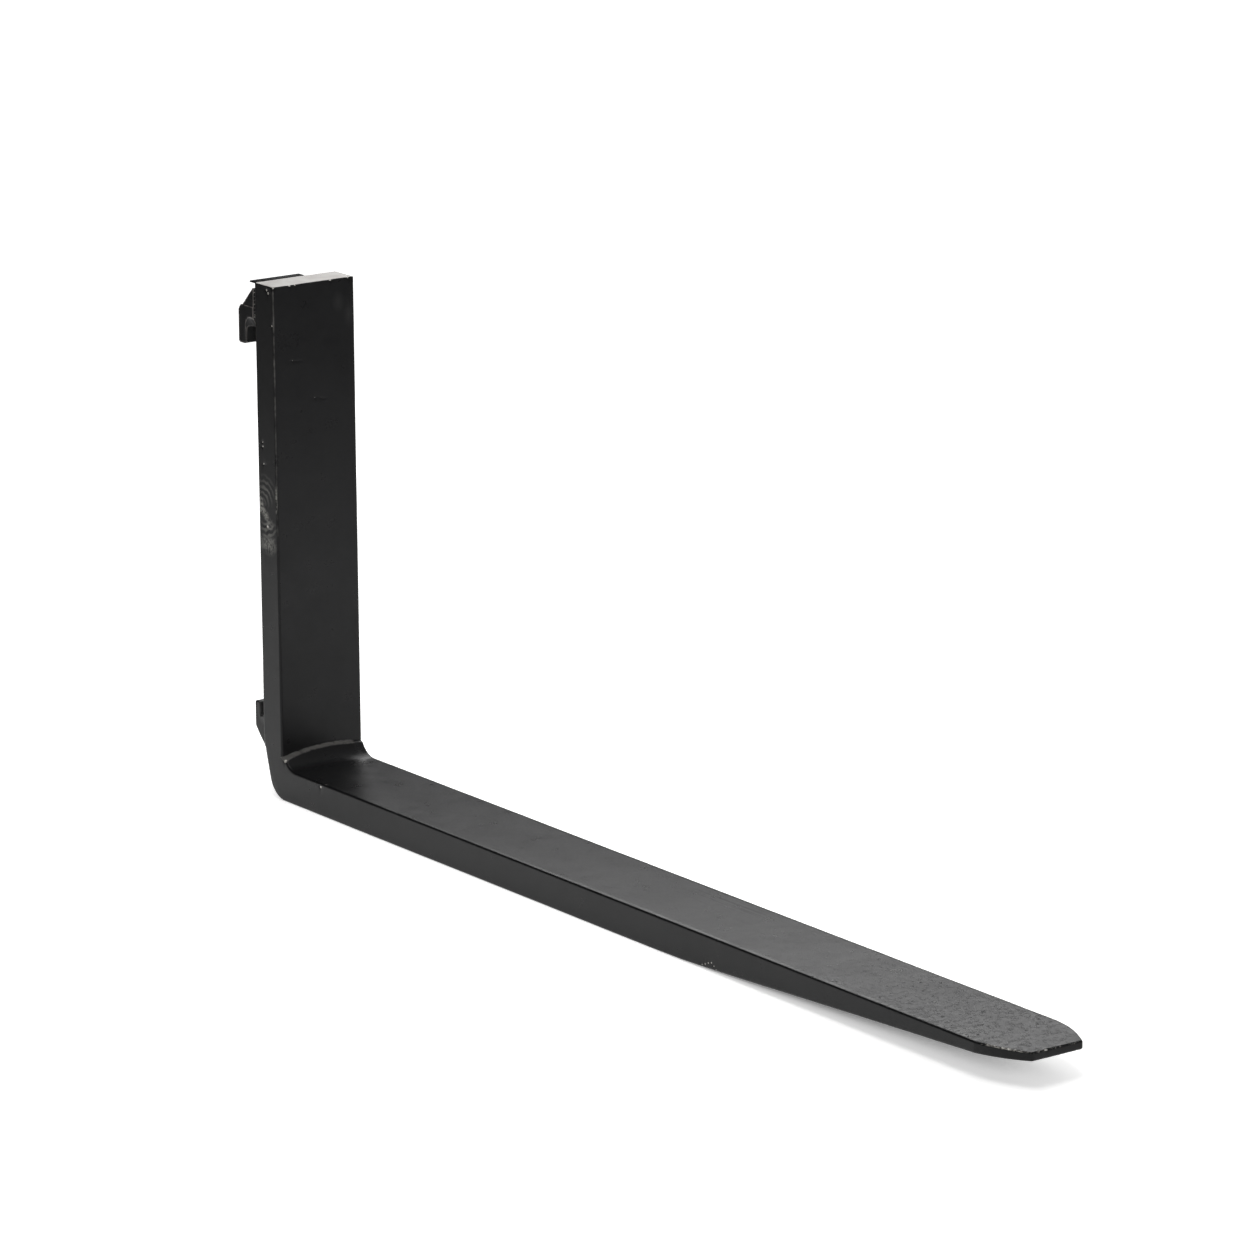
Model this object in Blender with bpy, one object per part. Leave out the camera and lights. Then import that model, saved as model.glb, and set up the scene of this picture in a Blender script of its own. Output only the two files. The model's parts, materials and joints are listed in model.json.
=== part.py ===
"""Hook-mounted fork arm for a lift truck carriage, with the lock that holds it in place.

Metres, +Z up. The blade lies along -Y, the width lies along X, and the origin is on the
floor under the middle of the part's box. Depths behind the shank are counted from its back face.
"""

import math

import bmesh
import bpy
from mathutils import Matrix, Vector

MM = 0.001

# Forged bar
BAR_WIDTH = 100 * MM
SHANK_THICKNESS = 35 * MM
SHANK_HEIGHT = 546 * MM
BLADE_THICKNESS = 35 * MM
BLADE_LENGTH = 1200 * MM            # from the shank's front face to the tip
TAPER_LENGTH = 500 * MM             # the underside rises over this length before the tip
TAPER_BLEND_RADIUS = 2000 * MM
TIP_THICKNESS = 9 * MM
TIP_WIDTH = 59 * MM
TIP_CORNER_LENGTH = 58 * MM         # each tip corner is cut back over this length
TIP_CORNER_BOW = 3.2 * MM           # how far the cut bows out from a straight line
INNER_HEEL_RADIUS = 25 * MM
OUTER_HEEL_RADIUS = 43 * MM
HEEL_LEAN_HEIGHT = 65 * MM          # below this the back leans in towards the heel
HEEL_LEAN_ANGLE = math.radians(15.8)
HEEL_LEAN_BLEND = 30 * MM
BAR_EDGE_RADIUS = 2 * MM
TOP_CUT_BEVEL = 0.8 * MM

# Both hooks
HOOK_GAP = 16.5 * MM                # takes the lip of a 407 mm carriage
NOTCH_RADIUS = 2.5 * MM
LIP_EDGE_RADIUS = 2.5 * MM
CREST_RADIUS = 5 * MM
SIDE_EDGE_BEVEL = 1.2 * MM

# Upper hook
HOOK_DEPTH = 31 * MM
UPPER_HOOK_INSET = 0.5 * MM         # each side face lies this far inside the bar's side
SEAT_DROP = 48 * MM                 # shank top down to the seat that hangs on the carriage
UPPER_LIP_LENGTH = 19 * MM
UPPER_LIP_DRAFT = 1.5 * MM
LAND_DROP = 6.5 * MM                # shank top down to the hook's narrow top land
LAND_REST = 0.5 * MM                # land left behind the weld bevel
CROWN_SLOPE = math.radians(45)
NOTCH_RELIEF_RADIUS = 10.5 * MM     # conical relief at each end of the notch
NOTCH_RELIEF_DEPTH = 6 * MM
UPPER_WELD_PREP = 3.2 * MM          # bevel on the front side edges, filled by the side welds

# Lower hook
LOWER_LIP_HEIGHT = 95 * MM          # blade's underside up to the lip's top
LOWER_HOOK_DEPTH = 26.5 * MM
LOWER_HOOK_INSET = 7 * MM
LOWER_NOTCH_DEPTH = 15 * MM
LOWER_LIP_DRAFT = 1 * MM
LOWER_BACK_HEIGHT = 27.5 * MM       # lip top down to the start of the underside slope
LOWER_SLOPE = math.radians(45)
LOWER_PREP_DEPTH = 6 * MM           # weld bevel under the hook's front face
LOWER_PREP_HEIGHT = 15.5 * MM

# Welds
WELD_RIPPLE_PITCH = 4 * MM
WELD_RIPPLE_DEPTH = 0.5 * MM
WELD_RIPPLE_LEAD = 1.6 * MM         # how far the middle of each ripple runs ahead of its toes
WELD_CROWN = 0.9 * MM
WELD_END_ROUND = 3 * MM             # the seam swells to its full size over this length
TOP_WELD_LEG = 3.2 * MM
LOWER_WELD_LEG = 5.5 * MM
LOWER_ROOT_WIDTH = 2 * MM           # width of the bottom weld at its root
WELD_RUN_OUT = 2 * MM               # each seam stops this far short of the edge it runs to

# Hook lock
PIN_LIFT = 10 * MM
PIN_PROTRUSION = 9 * MM             # tip of the locking pin below the seat, when locked
PIN_SIDE_CLEARANCE = 1.75 * MM      # between the pin and each wall of the hook gap
PIN_TIP_CHAMFER = 2 * MM
PLUNGER_GUIDE = 4 * MM              # how far the thick end reaches into its bore, when locked
STEM_DIAMETER = 8 * MM
STEM_END_CHAMFER = 1.5 * MM
STEM_OVER_PIVOT = 4.5 * MM
PIVOT_DROP = 11 * MM                # shank top down to the lever's pivot
CAM_REST = 7 * MM                   # pivot down to the face that the lever bears on
LEVER_TURN = math.radians(90)
LEVER_REACH = 46 * MM               # pivot to the finger end
LEVER_PLATE_END = 13 * MM           # pivot to the far end of the top plate
LEVER_SHEET = 2 * MM
LEVER_BEND_RADIUS = 2.5 * MM
CHEEK_REACH = 12 * MM               # pivot to the cheeks' end on the finger side
CHEEK_CLEARANCE = 0.5 * MM
SLOT_CLEARANCE = 2 * MM
ROLL_PIN_DIAMETER = 4 * MM
ROLL_PIN_WALL = 0.8 * MM
ROLL_PIN_SLIT = 0.9 * MM
ROLL_PIN_PROUD = 0.2 * MM
SPRING_WIRE = 1.2 * MM
SPRING_CLEARANCE = 0.9 * MM         # spring to the wall of its bore
SPRING_PRESSED_LENGTH = 8 * MM      # room left for the spring with the pin lifted
SPRING_TURNS = 5
SPRING_POINTS_PER_TURN = 9

FIT = 0.3 * MM                      # gap kept between pieces that touch
CUT_MARGIN = 2 * MM                 # how far a cutter runs past what it cuts
ARC_STEP = math.radians(8)          # most that a drawn arc turns between two points

# Places that follow from the sizes above
HALF_WIDTH = BAR_WIDTH / 2
FRONT_Y = (BLADE_LENGTH - SHANK_THICKNESS - HOOK_DEPTH) / 2
BACK_Y = FRONT_Y + SHANK_THICKNESS
TIP_Y = FRONT_Y - BLADE_LENGTH
SEAT_Z = SHANK_HEIGHT - SEAT_DROP
UPPER_LIP_Z = SEAT_Z - UPPER_LIP_LENGTH
LAND_Z = SHANK_HEIGHT - LAND_DROP
LAND_DEPTH = FIT + UPPER_WELD_PREP + LAND_REST
LOWER_FLOOR_Z = LOWER_LIP_HEIGHT - LOWER_NOTCH_DEPTH
LOWER_BACK_Z = LOWER_LIP_HEIGHT - LOWER_BACK_HEIGHT
LOWER_TOE_Z = LOWER_BACK_Z - (LOWER_HOOK_DEPTH - LOWER_PREP_DEPTH) * math.tan(LOWER_SLOPE)
LOWER_PREP_Z = LOWER_TOE_Z + LOWER_PREP_HEIGHT
UPPER_HALF = HALF_WIDTH - UPPER_HOOK_INSET
LOWER_HALF = HALF_WIDTH - LOWER_HOOK_INSET
PIN_DEPTH = HOOK_GAP / 2
PIN_RADIUS = HOOK_GAP / 2 - PIN_SIDE_CLEARANCE
STEM_RADIUS = STEM_DIAMETER / 2
PIVOT_Z = SHANK_HEIGHT - PIVOT_DROP
PIVOT = Vector((0, BACK_Y + PIN_DEPTH, PIVOT_Z))
SLOT_FLOOR_Z = PIVOT_Z - CAM_REST
SHOULDER_Z = SEAT_Z + PLUNGER_GUIDE
SPRING_CEILING_Z = SHOULDER_Z + PIN_LIFT + SPRING_PRESSED_LENGTH
CAM_RISE = PIN_LIFT / LEVER_TURN    # lift for each radian of lever turn
CAM_REACH = CAM_REST + PIN_LIFT - FIT
LEVER_HALF = STEM_RADIUS + CHEEK_CLEARANCE + LEVER_SHEET


def clear_scene():
    for item in list(bpy.data.objects):
        bpy.data.objects.remove(item, do_unlink=True)


def finish(name, colour, roughness, metallic):
    """Make a plain material in an sRGB colour."""
    material = bpy.data.materials.new(name)
    material.use_nodes = True
    shader = material.node_tree.nodes["Principled BSDF"]
    linear = [channel / 12.92 if channel < 0.04045 else ((channel + 0.055) / 1.055) ** 2.4
              for channel in colour]
    shader.inputs["Base Color"].default_value = (*linear, 1)
    shader.inputs["Roughness"].default_value = roughness
    shader.inputs["Metallic"].default_value = metallic
    return material


def add_object(name, shape, material, place=Vector((0, 0, 0)), parent=None):
    """Turn a bmesh into a named object that is shaded smooth up to its sharp edges."""
    bmesh.ops.recalc_face_normals(shape, faces=shape.faces)
    mesh = bpy.data.meshes.new(name)
    shape.to_mesh(mesh)
    shape.free()
    mesh.shade_smooth()
    mesh.set_sharp_from_angle(angle=math.radians(30))
    mesh.materials.append(material)
    item = bpy.data.objects.new(name, mesh)
    bpy.context.scene.collection.objects.link(item)
    item.parent = parent
    item.location = place - parent.location if parent else place
    return item


def cut(target, name, shape, operation="DIFFERENCE", place=Vector((0, 0, 0))):
    """Cut an object with a shape that stays in the file as a hidden cutter."""
    cutter = add_object(name, shape, target.data.materials[0], place)
    cutter.hide_render = True
    cutter.display_type = "WIRE"
    step = target.modifiers.new(name, "BOOLEAN")
    step.operation = operation
    step.object = cutter
    step.solver = "EXACT"


def rounded_outline(corners):
    """Close an outline through (u, v, radius) corners, with an arc at each round one."""
    points = []
    for index, (u, v, radius) in enumerate(corners):
        corner = Vector((u, v))
        if not radius:
            points.append(corner)
            continue
        before = (Vector(corners[index - 1][:2]) - corner).normalized()
        after = (Vector(corners[(index + 1) % len(corners)][:2]) - corner).normalized()
        half = before.angle(after) / 2
        reach = radius / math.tan(half)
        centre = corner + (before + after).normalized() * radius / math.sin(half)
        first = corner + before * reach - centre
        turn = math.copysign(math.pi - 2 * half, after.cross(before))
        steps = max(2, math.ceil(abs(turn) / ARC_STEP))
        points += [centre + Matrix.Rotation(turn * step / steps, 2) @ first for step in range(steps + 1)]
    return points


def prism(outline, start, u_axis, v_axis, sweep):
    """Extrude a flat outline, drawn from a start point on two axes, along a sweep."""
    shape = bmesh.new()
    corners = [shape.verts.new(start + u_axis * point[0] + v_axis * point[1]) for point in outline]
    face = shape.faces.new(corners)
    swept = bmesh.ops.extrude_face_region(shape, geom=[face])
    moved = [part for part in swept["geom"] if isinstance(part, bmesh.types.BMVert)]
    bmesh.ops.translate(shape, verts=moved, vec=sweep)
    return shape


def behind_shank(outline, half_width):
    """Extrude an outline of (depth, height) points across the bar's width."""
    start = Vector((-half_width, BACK_Y, 0))
    return prism(outline, start, Vector((0, 1, 0)), Vector((0, 0, 1)), Vector((2 * half_width, 0, 0)))


def cylinder(radius, low, high, sides=32, top_radius=None):
    """Make an upright cylinder or cone between two heights."""
    shape = bmesh.new()
    end_radius = radius if top_radius is None else top_radius
    bmesh.ops.create_cone(shape, cap_ends=True, segments=sides, radius1=radius,
                          radius2=end_radius, depth=high - low)
    bmesh.ops.translate(shape, verts=shape.verts, vec=Vector((0, 0, (low + high) / 2)))
    return shape


def turned(profile, sides=32):
    """Spin a profile of (radius, height) points, from axis to axis, round the Z axis."""
    shape = bmesh.new()
    points = [shape.verts.new((radius, 0, height)) for radius, height in profile]
    for first, second in zip(points, points[1:]):
        shape.edges.new((first, second))
    bmesh.ops.spin(shape, geom=shape.verts[:] + shape.edges[:], cent=(0, 0, 0), axis=(0, 0, 1),
                   angle=2 * math.pi, steps=sides, use_merge=True)
    bmesh.ops.remove_doubles(shape, verts=shape.verts, dist=FIT / 100)
    return shape


def loft(rings):
    """Skin a row of rings of like points and close both ends."""
    shape = bmesh.new()
    loops = []
    for ring in rings:
        points = [shape.verts.new(point) for point in ring]
        loops.append([shape.edges.new((points[index - 1], point)) for index, point in enumerate(points)])
    for first, second in zip(loops, loops[1:]):
        bmesh.ops.bridge_loops(shape, edges=first + second)
    bmesh.ops.holes_fill(shape, edges=loops[0] + loops[-1])
    return shape


def sharp_edges(shape, angle, keep):
    return [edge for edge in shape.edges
            if edge.is_manifold and edge.calc_face_angle() > angle and keep(edge)]


def bevel(shape, edges, width, segments):
    bmesh.ops.bevel(shape, geom=edges, offset=width, segments=segments, profile=0.5,
                    affect="EDGES", clamp_overlap=True, material=-1)


def heel_depth(height):
    """Depth of the bar's back at a height: zero on the shank, in front of it down the heel."""
    return -max(0, HEEL_LEAN_HEIGHT - height) * math.tan(HEEL_LEAN_ANGLE)


def lower_hook_front(height):
    """Depth of the lower hook's front face at a height, with its weld bevel below."""
    below = max(0, LOWER_PREP_Z - height)
    return FIT + below * (LOWER_PREP_DEPTH - FIT) / LOWER_PREP_HEIGHT


def tip_corner(steps=6):
    """Give (x, y) points round the right corner of the tip, from the bar's side to its end."""
    side = Vector((HALF_WIDTH, TIP_Y + TIP_CORNER_LENGTH))
    end = Vector((TIP_WIDTH / 2, TIP_Y))
    outward = Vector((side.y - end.y, end.x - side.x)).normalized()
    shares = [step / steps for step in range(steps + 1)]
    return [side.lerp(end, share) + outward * 4 * TIP_CORNER_BOW * share * (1 - share) for share in shares]


def make_fork_arm(material):
    """Forge the L of blade and shank, taper its underside and trim its tip corners."""
    shank_foot = FRONT_Y + SHANK_THICKNESS + heel_depth(0)
    outline = rounded_outline([
        (TIP_Y, BLADE_THICKNESS, 0),
        (FRONT_Y, BLADE_THICKNESS, INNER_HEEL_RADIUS),
        (FRONT_Y, SHANK_HEIGHT, 0),
        (BACK_Y, SHANK_HEIGHT, 0),
        (BACK_Y, HEEL_LEAN_HEIGHT, HEEL_LEAN_BLEND),
        (shank_foot, 0, OUTER_HEEL_RADIUS),
        (TIP_Y + TAPER_LENGTH, 0, TAPER_BLEND_RADIUS),
        (TIP_Y, BLADE_THICKNESS - TIP_THICKNESS, 0),
    ])
    shape = prism(outline, Vector((-HALF_WIDTH, 0, 0)), Vector((0, 1, 0)), Vector((0, 0, 1)),
                  Vector((BAR_WIDTH, 0, 0)))
    corner = tip_corner()
    for side in (-1, 1):
        for first, second in zip(corner, corner[1:]):
            outward = Vector((side * (first.y - second.y), second.x - first.x, 0))
            sliced = bmesh.ops.bisect_plane(shape, geom=shape.verts[:] + shape.edges[:] + shape.faces[:],
                                            plane_co=Vector((side * first.x, first.y, 0)),
                                            plane_no=outward, clear_outer=True)
            rim = [part for part in sliced["geom_cut"] if isinstance(part, bmesh.types.BMEdge)]
            bmesh.ops.contextual_create(shape, geom=rim)

    def is_top(edge):
        return all(vert.co.z > SHANK_HEIGHT - FIT for vert in edge.verts)

    long_edges = sharp_edges(shape, math.radians(15), lambda edge: not is_top(edge))
    bevel(shape, long_edges, BAR_EDGE_RADIUS, 4)
    bevel(shape, sharp_edges(shape, math.radians(60), is_top), TOP_CUT_BEVEL, 1)
    return add_object("fork_arm", shape, material)


def make_upper_hook(material):
    """Forge the hook that hangs on the carriage, with the slot and bore of its lock."""
    crown_drop = (HOOK_DEPTH - LAND_DEPTH) * math.tan(CROWN_SLOPE)
    outline = rounded_outline([
        (FIT, SEAT_Z, 0),
        (HOOK_GAP, SEAT_Z, NOTCH_RADIUS),
        (HOOK_GAP + UPPER_LIP_DRAFT, UPPER_LIP_Z, LIP_EDGE_RADIUS),
        (HOOK_DEPTH, UPPER_LIP_Z, LIP_EDGE_RADIUS),
        (HOOK_DEPTH, LAND_Z - crown_drop, CREST_RADIUS),
        (LAND_DEPTH, LAND_Z, 0),
        (FIT, LAND_Z, 0),
    ])
    shape = behind_shank(outline, UPPER_HALF)

    def is_front_side(edge):
        return all(vert.co.y < BACK_Y + 2 * FIT and abs(vert.co.x) > UPPER_HALF - FIT
                   for vert in edge.verts)

    def is_back_side(edge):
        return all(vert.co.y > BACK_Y + HOOK_GAP + UPPER_LIP_DRAFT or vert.co.z > SEAT_Z + FIT
                   for vert in edge.verts) and not is_front_side(edge)

    bevel(shape, sharp_edges(shape, math.radians(60), is_front_side), UPPER_WELD_PREP, 1)
    side_rim = sharp_edges(shape, math.radians(80), lambda edge: is_back_side(edge)
                           and all(abs(vert.co.x) > UPPER_HALF - FIT for vert in edge.verts))
    bevel(shape, side_rim, SIDE_EDGE_BEVEL, 1)
    hook = add_object("upper_hook", shape, material)

    axis = Vector((0, PIVOT.y, 0))
    cut(hook, "plunger_bore_cutter", cylinder(PIN_RADIUS + FIT, SEAT_Z - CUT_MARGIN, SPRING_CEILING_Z),
        place=axis)
    cut(hook, "stem_bore_cutter",
        cylinder(STEM_RADIUS + FIT, SPRING_CEILING_Z - CUT_MARGIN, SHANK_HEIGHT), place=axis)
    slot_start = Vector((-CHEEK_REACH - SLOT_CLEARANCE, BACK_Y - CUT_MARGIN, SLOT_FLOOR_Z))
    slot_length = CHEEK_REACH + CAM_REACH + 2 * SLOT_CLEARANCE
    slot_outline = [(0, 0), (slot_length, 0), (slot_length, SHANK_HEIGHT), (0, SHANK_HEIGHT)]
    cut(hook, "lever_slot_cutter",
        prism(slot_outline, slot_start, Vector((1, 0, 0)), Vector((0, 0, 1)),
              Vector((0, HOOK_DEPTH + 2 * CUT_MARGIN, 0))))
    for side, word in ((-1, "left"), (1, "right")):
        relief = cylinder(0, 0, NOTCH_RELIEF_DEPTH, 24, NOTCH_RELIEF_RADIUS)
        rotation = Vector((0, 0, 1)).rotation_difference(Vector((side, 0, 0))).to_matrix()
        bmesh.ops.rotate(relief, verts=relief.verts, cent=(0, 0, 0), matrix=rotation)
        start = Vector((side * (UPPER_HALF + FIT - NOTCH_RELIEF_DEPTH), BACK_Y + HOOK_GAP / 2, SEAT_Z))
        cut(hook, f"notch_relief_cutter_{word}", relief, place=start)
    return hook


def make_lower_hook(material):
    """Forge the hook that catches the carriage's lower lip."""
    outline = rounded_outline([
        (FIT, LOWER_FLOOR_Z, 0),
        (HOOK_GAP, LOWER_FLOOR_Z, NOTCH_RADIUS),
        (HOOK_GAP + LOWER_LIP_DRAFT, LOWER_LIP_HEIGHT, LIP_EDGE_RADIUS),
        (LOWER_HOOK_DEPTH, LOWER_LIP_HEIGHT, LIP_EDGE_RADIUS),
        (LOWER_HOOK_DEPTH, LOWER_BACK_Z, CREST_RADIUS),
        (LOWER_PREP_DEPTH, LOWER_TOE_Z, 0),
        (FIT, LOWER_PREP_Z, 0),
    ])
    shape = behind_shank(outline, LOWER_HALF)
    side_rim = sharp_edges(shape, math.radians(80), lambda edge: all(
        abs(vert.co.x) > LOWER_HALF - FIT and vert.co.y > BACK_Y + LOWER_PREP_DEPTH for vert in edge.verts))
    bevel(shape, side_rim, SIDE_EDGE_BEVEL, 1)
    return add_object("lower_hook", shape, material)


def stations(start, end):
    """Spread places along a seam, four to a ripple, each with the seam's swell there."""
    length = end - start
    count = max(8, round(4 * length / WELD_RIPPLE_PITCH))
    for index in range(count + 1):
        along = length * index / count
        to_end = min(along, length - along) / WELD_END_ROUND
        yield start + along, 0.5 + 0.5 * math.sin(math.pi / 2 * min(1, to_end))


def crowned(first, last, along, steps=4):
    """Bow the face of a weld between its two toes, to the right of the way from one to the other.

    Each ripple is a crescent that steps down to the next one.
    """
    across = last - first
    outward = Vector((across.y, -across.x)).normalized()
    points = []
    for step in range(steps + 1):
        bow = math.sin(math.pi * step / steps)
        phase = (along - WELD_RIPPLE_LEAD * bow) / WELD_RIPPLE_PITCH % 1
        height = (WELD_CROWN - WELD_RIPPLE_DEPTH * phase) * bow
        points.append(first + across * step / steps + outward * height)
    return points


def make_upper_side_weld(name, side, material):
    """Fill the bevel between the shank's rounded back edge and the upper hook's side."""
    root_x = UPPER_HALF - UPPER_WELD_PREP + FIT * math.sqrt(2)
    face_x = UPPER_HALF - WELD_CROWN / 2
    edge_x = HALF_WIDTH - BAR_EDGE_RADIUS
    toe_on_bar = Vector((face_x, FIT - BAR_EDGE_RADIUS
                         + math.sqrt(BAR_EDGE_RADIUS ** 2 - (face_x - edge_x) ** 2)))
    toe_on_hook = Vector((face_x, FIT + face_x - root_x))
    rings = []
    for height, _ in stations(SEAT_Z + NOTCH_RELIEF_RADIUS + FIT, LAND_Z - FIT):
        face = crowned(toe_on_hook, toe_on_bar, -height)[::-1]
        section = [Vector((root_x, FIT)), Vector((edge_x, FIT))] + face
        rings.append([Vector((side * point.x, BACK_Y + point.y, height)) for point in section])
    return add_object(name, loft(rings), material)


def make_upper_top_weld(name, start, end, material):
    """Lay a fillet weld along the land, between the hook's top and the shank's back."""
    base = LAND_Z + FIT
    rings = []
    for x, swell in stations(start, end):
        leg = (TOP_WELD_LEG - WELD_CROWN / 2) * swell
        face = crowned(Vector((FIT + leg, base)), Vector((FIT, base + leg)), x)
        section = [Vector((FIT, base))] + face
        rings.append([Vector((x, BACK_Y + point.x, point.y)) for point in section])
    return add_object(name, loft(rings), material)


def make_lower_side_weld(name, side, material):
    """Lay a fillet weld down the corner between the lower hook's side and the bar's back."""
    root_x = LOWER_HALF + FIT
    rings = []
    for height, swell in stations(LOWER_TOE_Z + WELD_RUN_OUT, LOWER_FLOOR_Z - WELD_RUN_OUT):
        leg = (LOWER_WELD_LEG - WELD_CROWN / 2) * swell
        root = Vector((root_x, heel_depth(height) + FIT))
        toe_on_bar = root + Vector((leg, 0))
        toe_on_hook = Vector((root_x, lower_hook_front(height) + leg))
        section = [root] + crowned(toe_on_bar, toe_on_hook, -height)
        rings.append([Vector((side * point.x, BACK_Y + point.y, height)) for point in section])
    return add_object(name, loft(rings), material)


def make_lower_bottom_weld(material):
    """Fill the groove under the lower hook, where the heel leans away from it."""
    slant = (LOWER_PREP_DEPTH - FIT) / LOWER_PREP_HEIGHT
    opening = slant + math.tan(HEEL_LEAN_ANGLE)
    toe_z = LOWER_TOE_Z + WELD_RUN_OUT
    root_z = LOWER_PREP_Z - (LOWER_ROOT_WIDTH + FIT) / opening

    def bar_side(height):
        return Vector((heel_depth(height) + FIT / math.cos(HEEL_LEAN_ANGLE), height))

    def hook_side(height):
        return Vector((lower_hook_front(height) - FIT / math.cos(math.atan(slant)), height))

    rings = []
    half_run = LOWER_HALF - WELD_RUN_OUT
    for x, _ in stations(-half_run, half_run):
        section = [hook_side(root_z), bar_side(root_z)] + crowned(bar_side(toe_z), hook_side(toe_z), x)
        rings.append([Vector((x, BACK_Y + point.x, point.y)) for point in section])
    return add_object("lower_hook_weld_bottom", loft(rings), material)


def make_lock_pin(material):
    """Turn the pin: a thick end that drops into the carriage's notch and a stem up to the lever."""
    tip = SEAT_Z - PIN_PROTRUSION - PIVOT_Z
    shoulder = SHOULDER_Z - PIVOT_Z
    shape = turned([
        (0, tip),
        (PIN_RADIUS - PIN_TIP_CHAMFER, tip),
        (PIN_RADIUS, tip + PIN_TIP_CHAMFER),
        (PIN_RADIUS, shoulder),
        (STEM_RADIUS, shoulder),
        (STEM_RADIUS, STEM_OVER_PIVOT - STEM_END_CHAMFER),
        (STEM_RADIUS - STEM_END_CHAMFER, STEM_OVER_PIVOT),
        (0, STEM_OVER_PIVOT),
    ])
    pin = add_object("lock_pin", shape, material, PIVOT)
    cut(pin, "stem_cross_hole_cutter", cross_hole(2 * STEM_RADIUS), place=PIVOT)
    return pin


def cross_hole(length):
    """Make the cutter for a hole along Y that takes the roll pin."""
    shape = cylinder(ROLL_PIN_DIAMETER / 2 + FIT, -length, length, 24)
    rotation = Vector((0, 0, 1)).rotation_difference(Vector((0, 1, 0))).to_matrix()
    bmesh.ops.rotate(shape, verts=shape.verts, cent=(0, 0, 0), matrix=rotation)
    return shape


def cam_point(turn):
    """Give the cam's outline where it bears after a turn, so that lift follows turn evenly."""
    support = CAM_REST - FIT + CAM_RISE * turn
    return (support * math.sin(turn) + CAM_RISE * math.cos(turn),
            -support * math.cos(turn) + CAM_RISE * math.sin(turn))


def make_lock_lever(pin, material):
    """Fold the lever from sheet: a channel trimmed to its side outline, with a cam on both cheeks."""
    under = PIVOT_DROP - LEVER_SHEET
    inner_half = LEVER_HALF - LEVER_SHEET
    inner_bend = LEVER_BEND_RADIUS - LEVER_SHEET
    low = -CAM_REST - CUT_MARGIN
    channel = rounded_outline([
        (-LEVER_HALF, low, 0),
        (-LEVER_HALF, PIVOT_DROP, LEVER_BEND_RADIUS),
        (LEVER_HALF, PIVOT_DROP, LEVER_BEND_RADIUS),
        (LEVER_HALF, low, 0),
        (inner_half, low, 0),
        (inner_half, under, inner_bend),
        (-inner_half, under, inner_bend),
        (-inner_half, low, 0),
    ])
    shape = prism(channel, Vector((-LEVER_REACH, 0, 0)), Vector((0, 1, 0)), Vector((0, 0, 1)),
                  Vector((LEVER_REACH + CAM_REACH + CUT_MARGIN, 0, 0)))
    lever = add_object("lock_lever", shape, material, PIVOT, pin)

    steps = 12
    cam = [cam_point(LEVER_TURN * step / steps) for step in range(steps + 1)]
    over = PIVOT_DROP + CUT_MARGIN
    side_outline = [(-LEVER_REACH - CUT_MARGIN, under), (-CHEEK_REACH, under),
                    (-CHEEK_REACH + CAM_REST / 2, -CAM_REST + FIT)] + cam
    side_outline += [(LEVER_PLATE_END, PIVOT_DROP), (LEVER_PLATE_END, over),
                     (-LEVER_REACH - CUT_MARGIN, over)]
    trim = prism(side_outline, Vector((0, -LEVER_HALF - CUT_MARGIN, 0)), Vector((1, 0, 0)),
                 Vector((0, 0, 1)), Vector((0, 2 * (LEVER_HALF + CUT_MARGIN), 0)))
    cut(lever, "lever_outline_cutter", trim, "INTERSECT", PIVOT)
    cut(lever, "lever_cross_hole_cutter", cross_hole(2 * LEVER_HALF), place=PIVOT)
    return lever


def make_roll_pin(pin, material):
    """Roll the split pin that joins the lever to the stem."""
    outer = ROLL_PIN_DIAMETER / 2
    inner = outer - ROLL_PIN_WALL
    half_slit = ROLL_PIN_SLIT / 2
    steps = 20

    def arc(radius, direction):
        edge = math.asin(half_slit / radius)
        angles = [edge + (2 * math.pi - 2 * edge) * step / steps for step in range(steps + 1)]
        return [(radius * math.cos(angle), radius * math.sin(angle)) for angle in angles[::direction]]

    half_length = LEVER_HALF + ROLL_PIN_PROUD
    shape = prism(arc(outer, 1) + arc(inner, -1), Vector((0, -half_length, 0)), Vector((-1, 0, 0)),
                  Vector((0, 0, 1)), Vector((0, 2 * half_length, 0)))
    return add_object("lever_roll_pin", shape, material, PIVOT, pin)


def make_lock_spring(material):
    """Wind the spring that pushes the pin down, round its stem and inside the hook's bore."""
    wire = SPRING_WIRE / 2
    radius = PIN_RADIUS + FIT - SPRING_CLEARANCE - wire
    low = SHOULDER_Z + FIT + wire
    rise = SPRING_CEILING_Z - FIT - wire - low
    count = SPRING_TURNS * SPRING_POINTS_PER_TURN
    path = []
    for index in range(count + 1):
        angle = 2 * math.pi * index / SPRING_POINTS_PER_TURN
        path.append(Vector((radius * math.cos(angle), radius * math.sin(angle), rise * index / count)))

    curve = bpy.data.curves.new("lock_spring", "CURVE")
    curve.dimensions = "3D"
    curve.bevel_depth = wire
    curve.bevel_resolution = 1
    curve.use_fill_caps = True
    line = curve.splines.new("POLY")
    line.points.add(count)
    for point, place in zip(line.points, path):
        point.co = (*place, 1)
    curve.materials.append(material)
    spring = bpy.data.objects.new("lock_spring", curve)
    bpy.context.scene.collection.objects.link(spring)
    spring.location = Vector((0, PIVOT.y, low))

    apart = SPRING_POINTS_PER_TURN // 2
    least = min((first - second).length for index, first in enumerate(path)
                for second in path[index + apart:])
    print(f"lock_spring least gap between turns: {(least - SPRING_WIRE) / MM:.2f} mm")
    return spring


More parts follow.
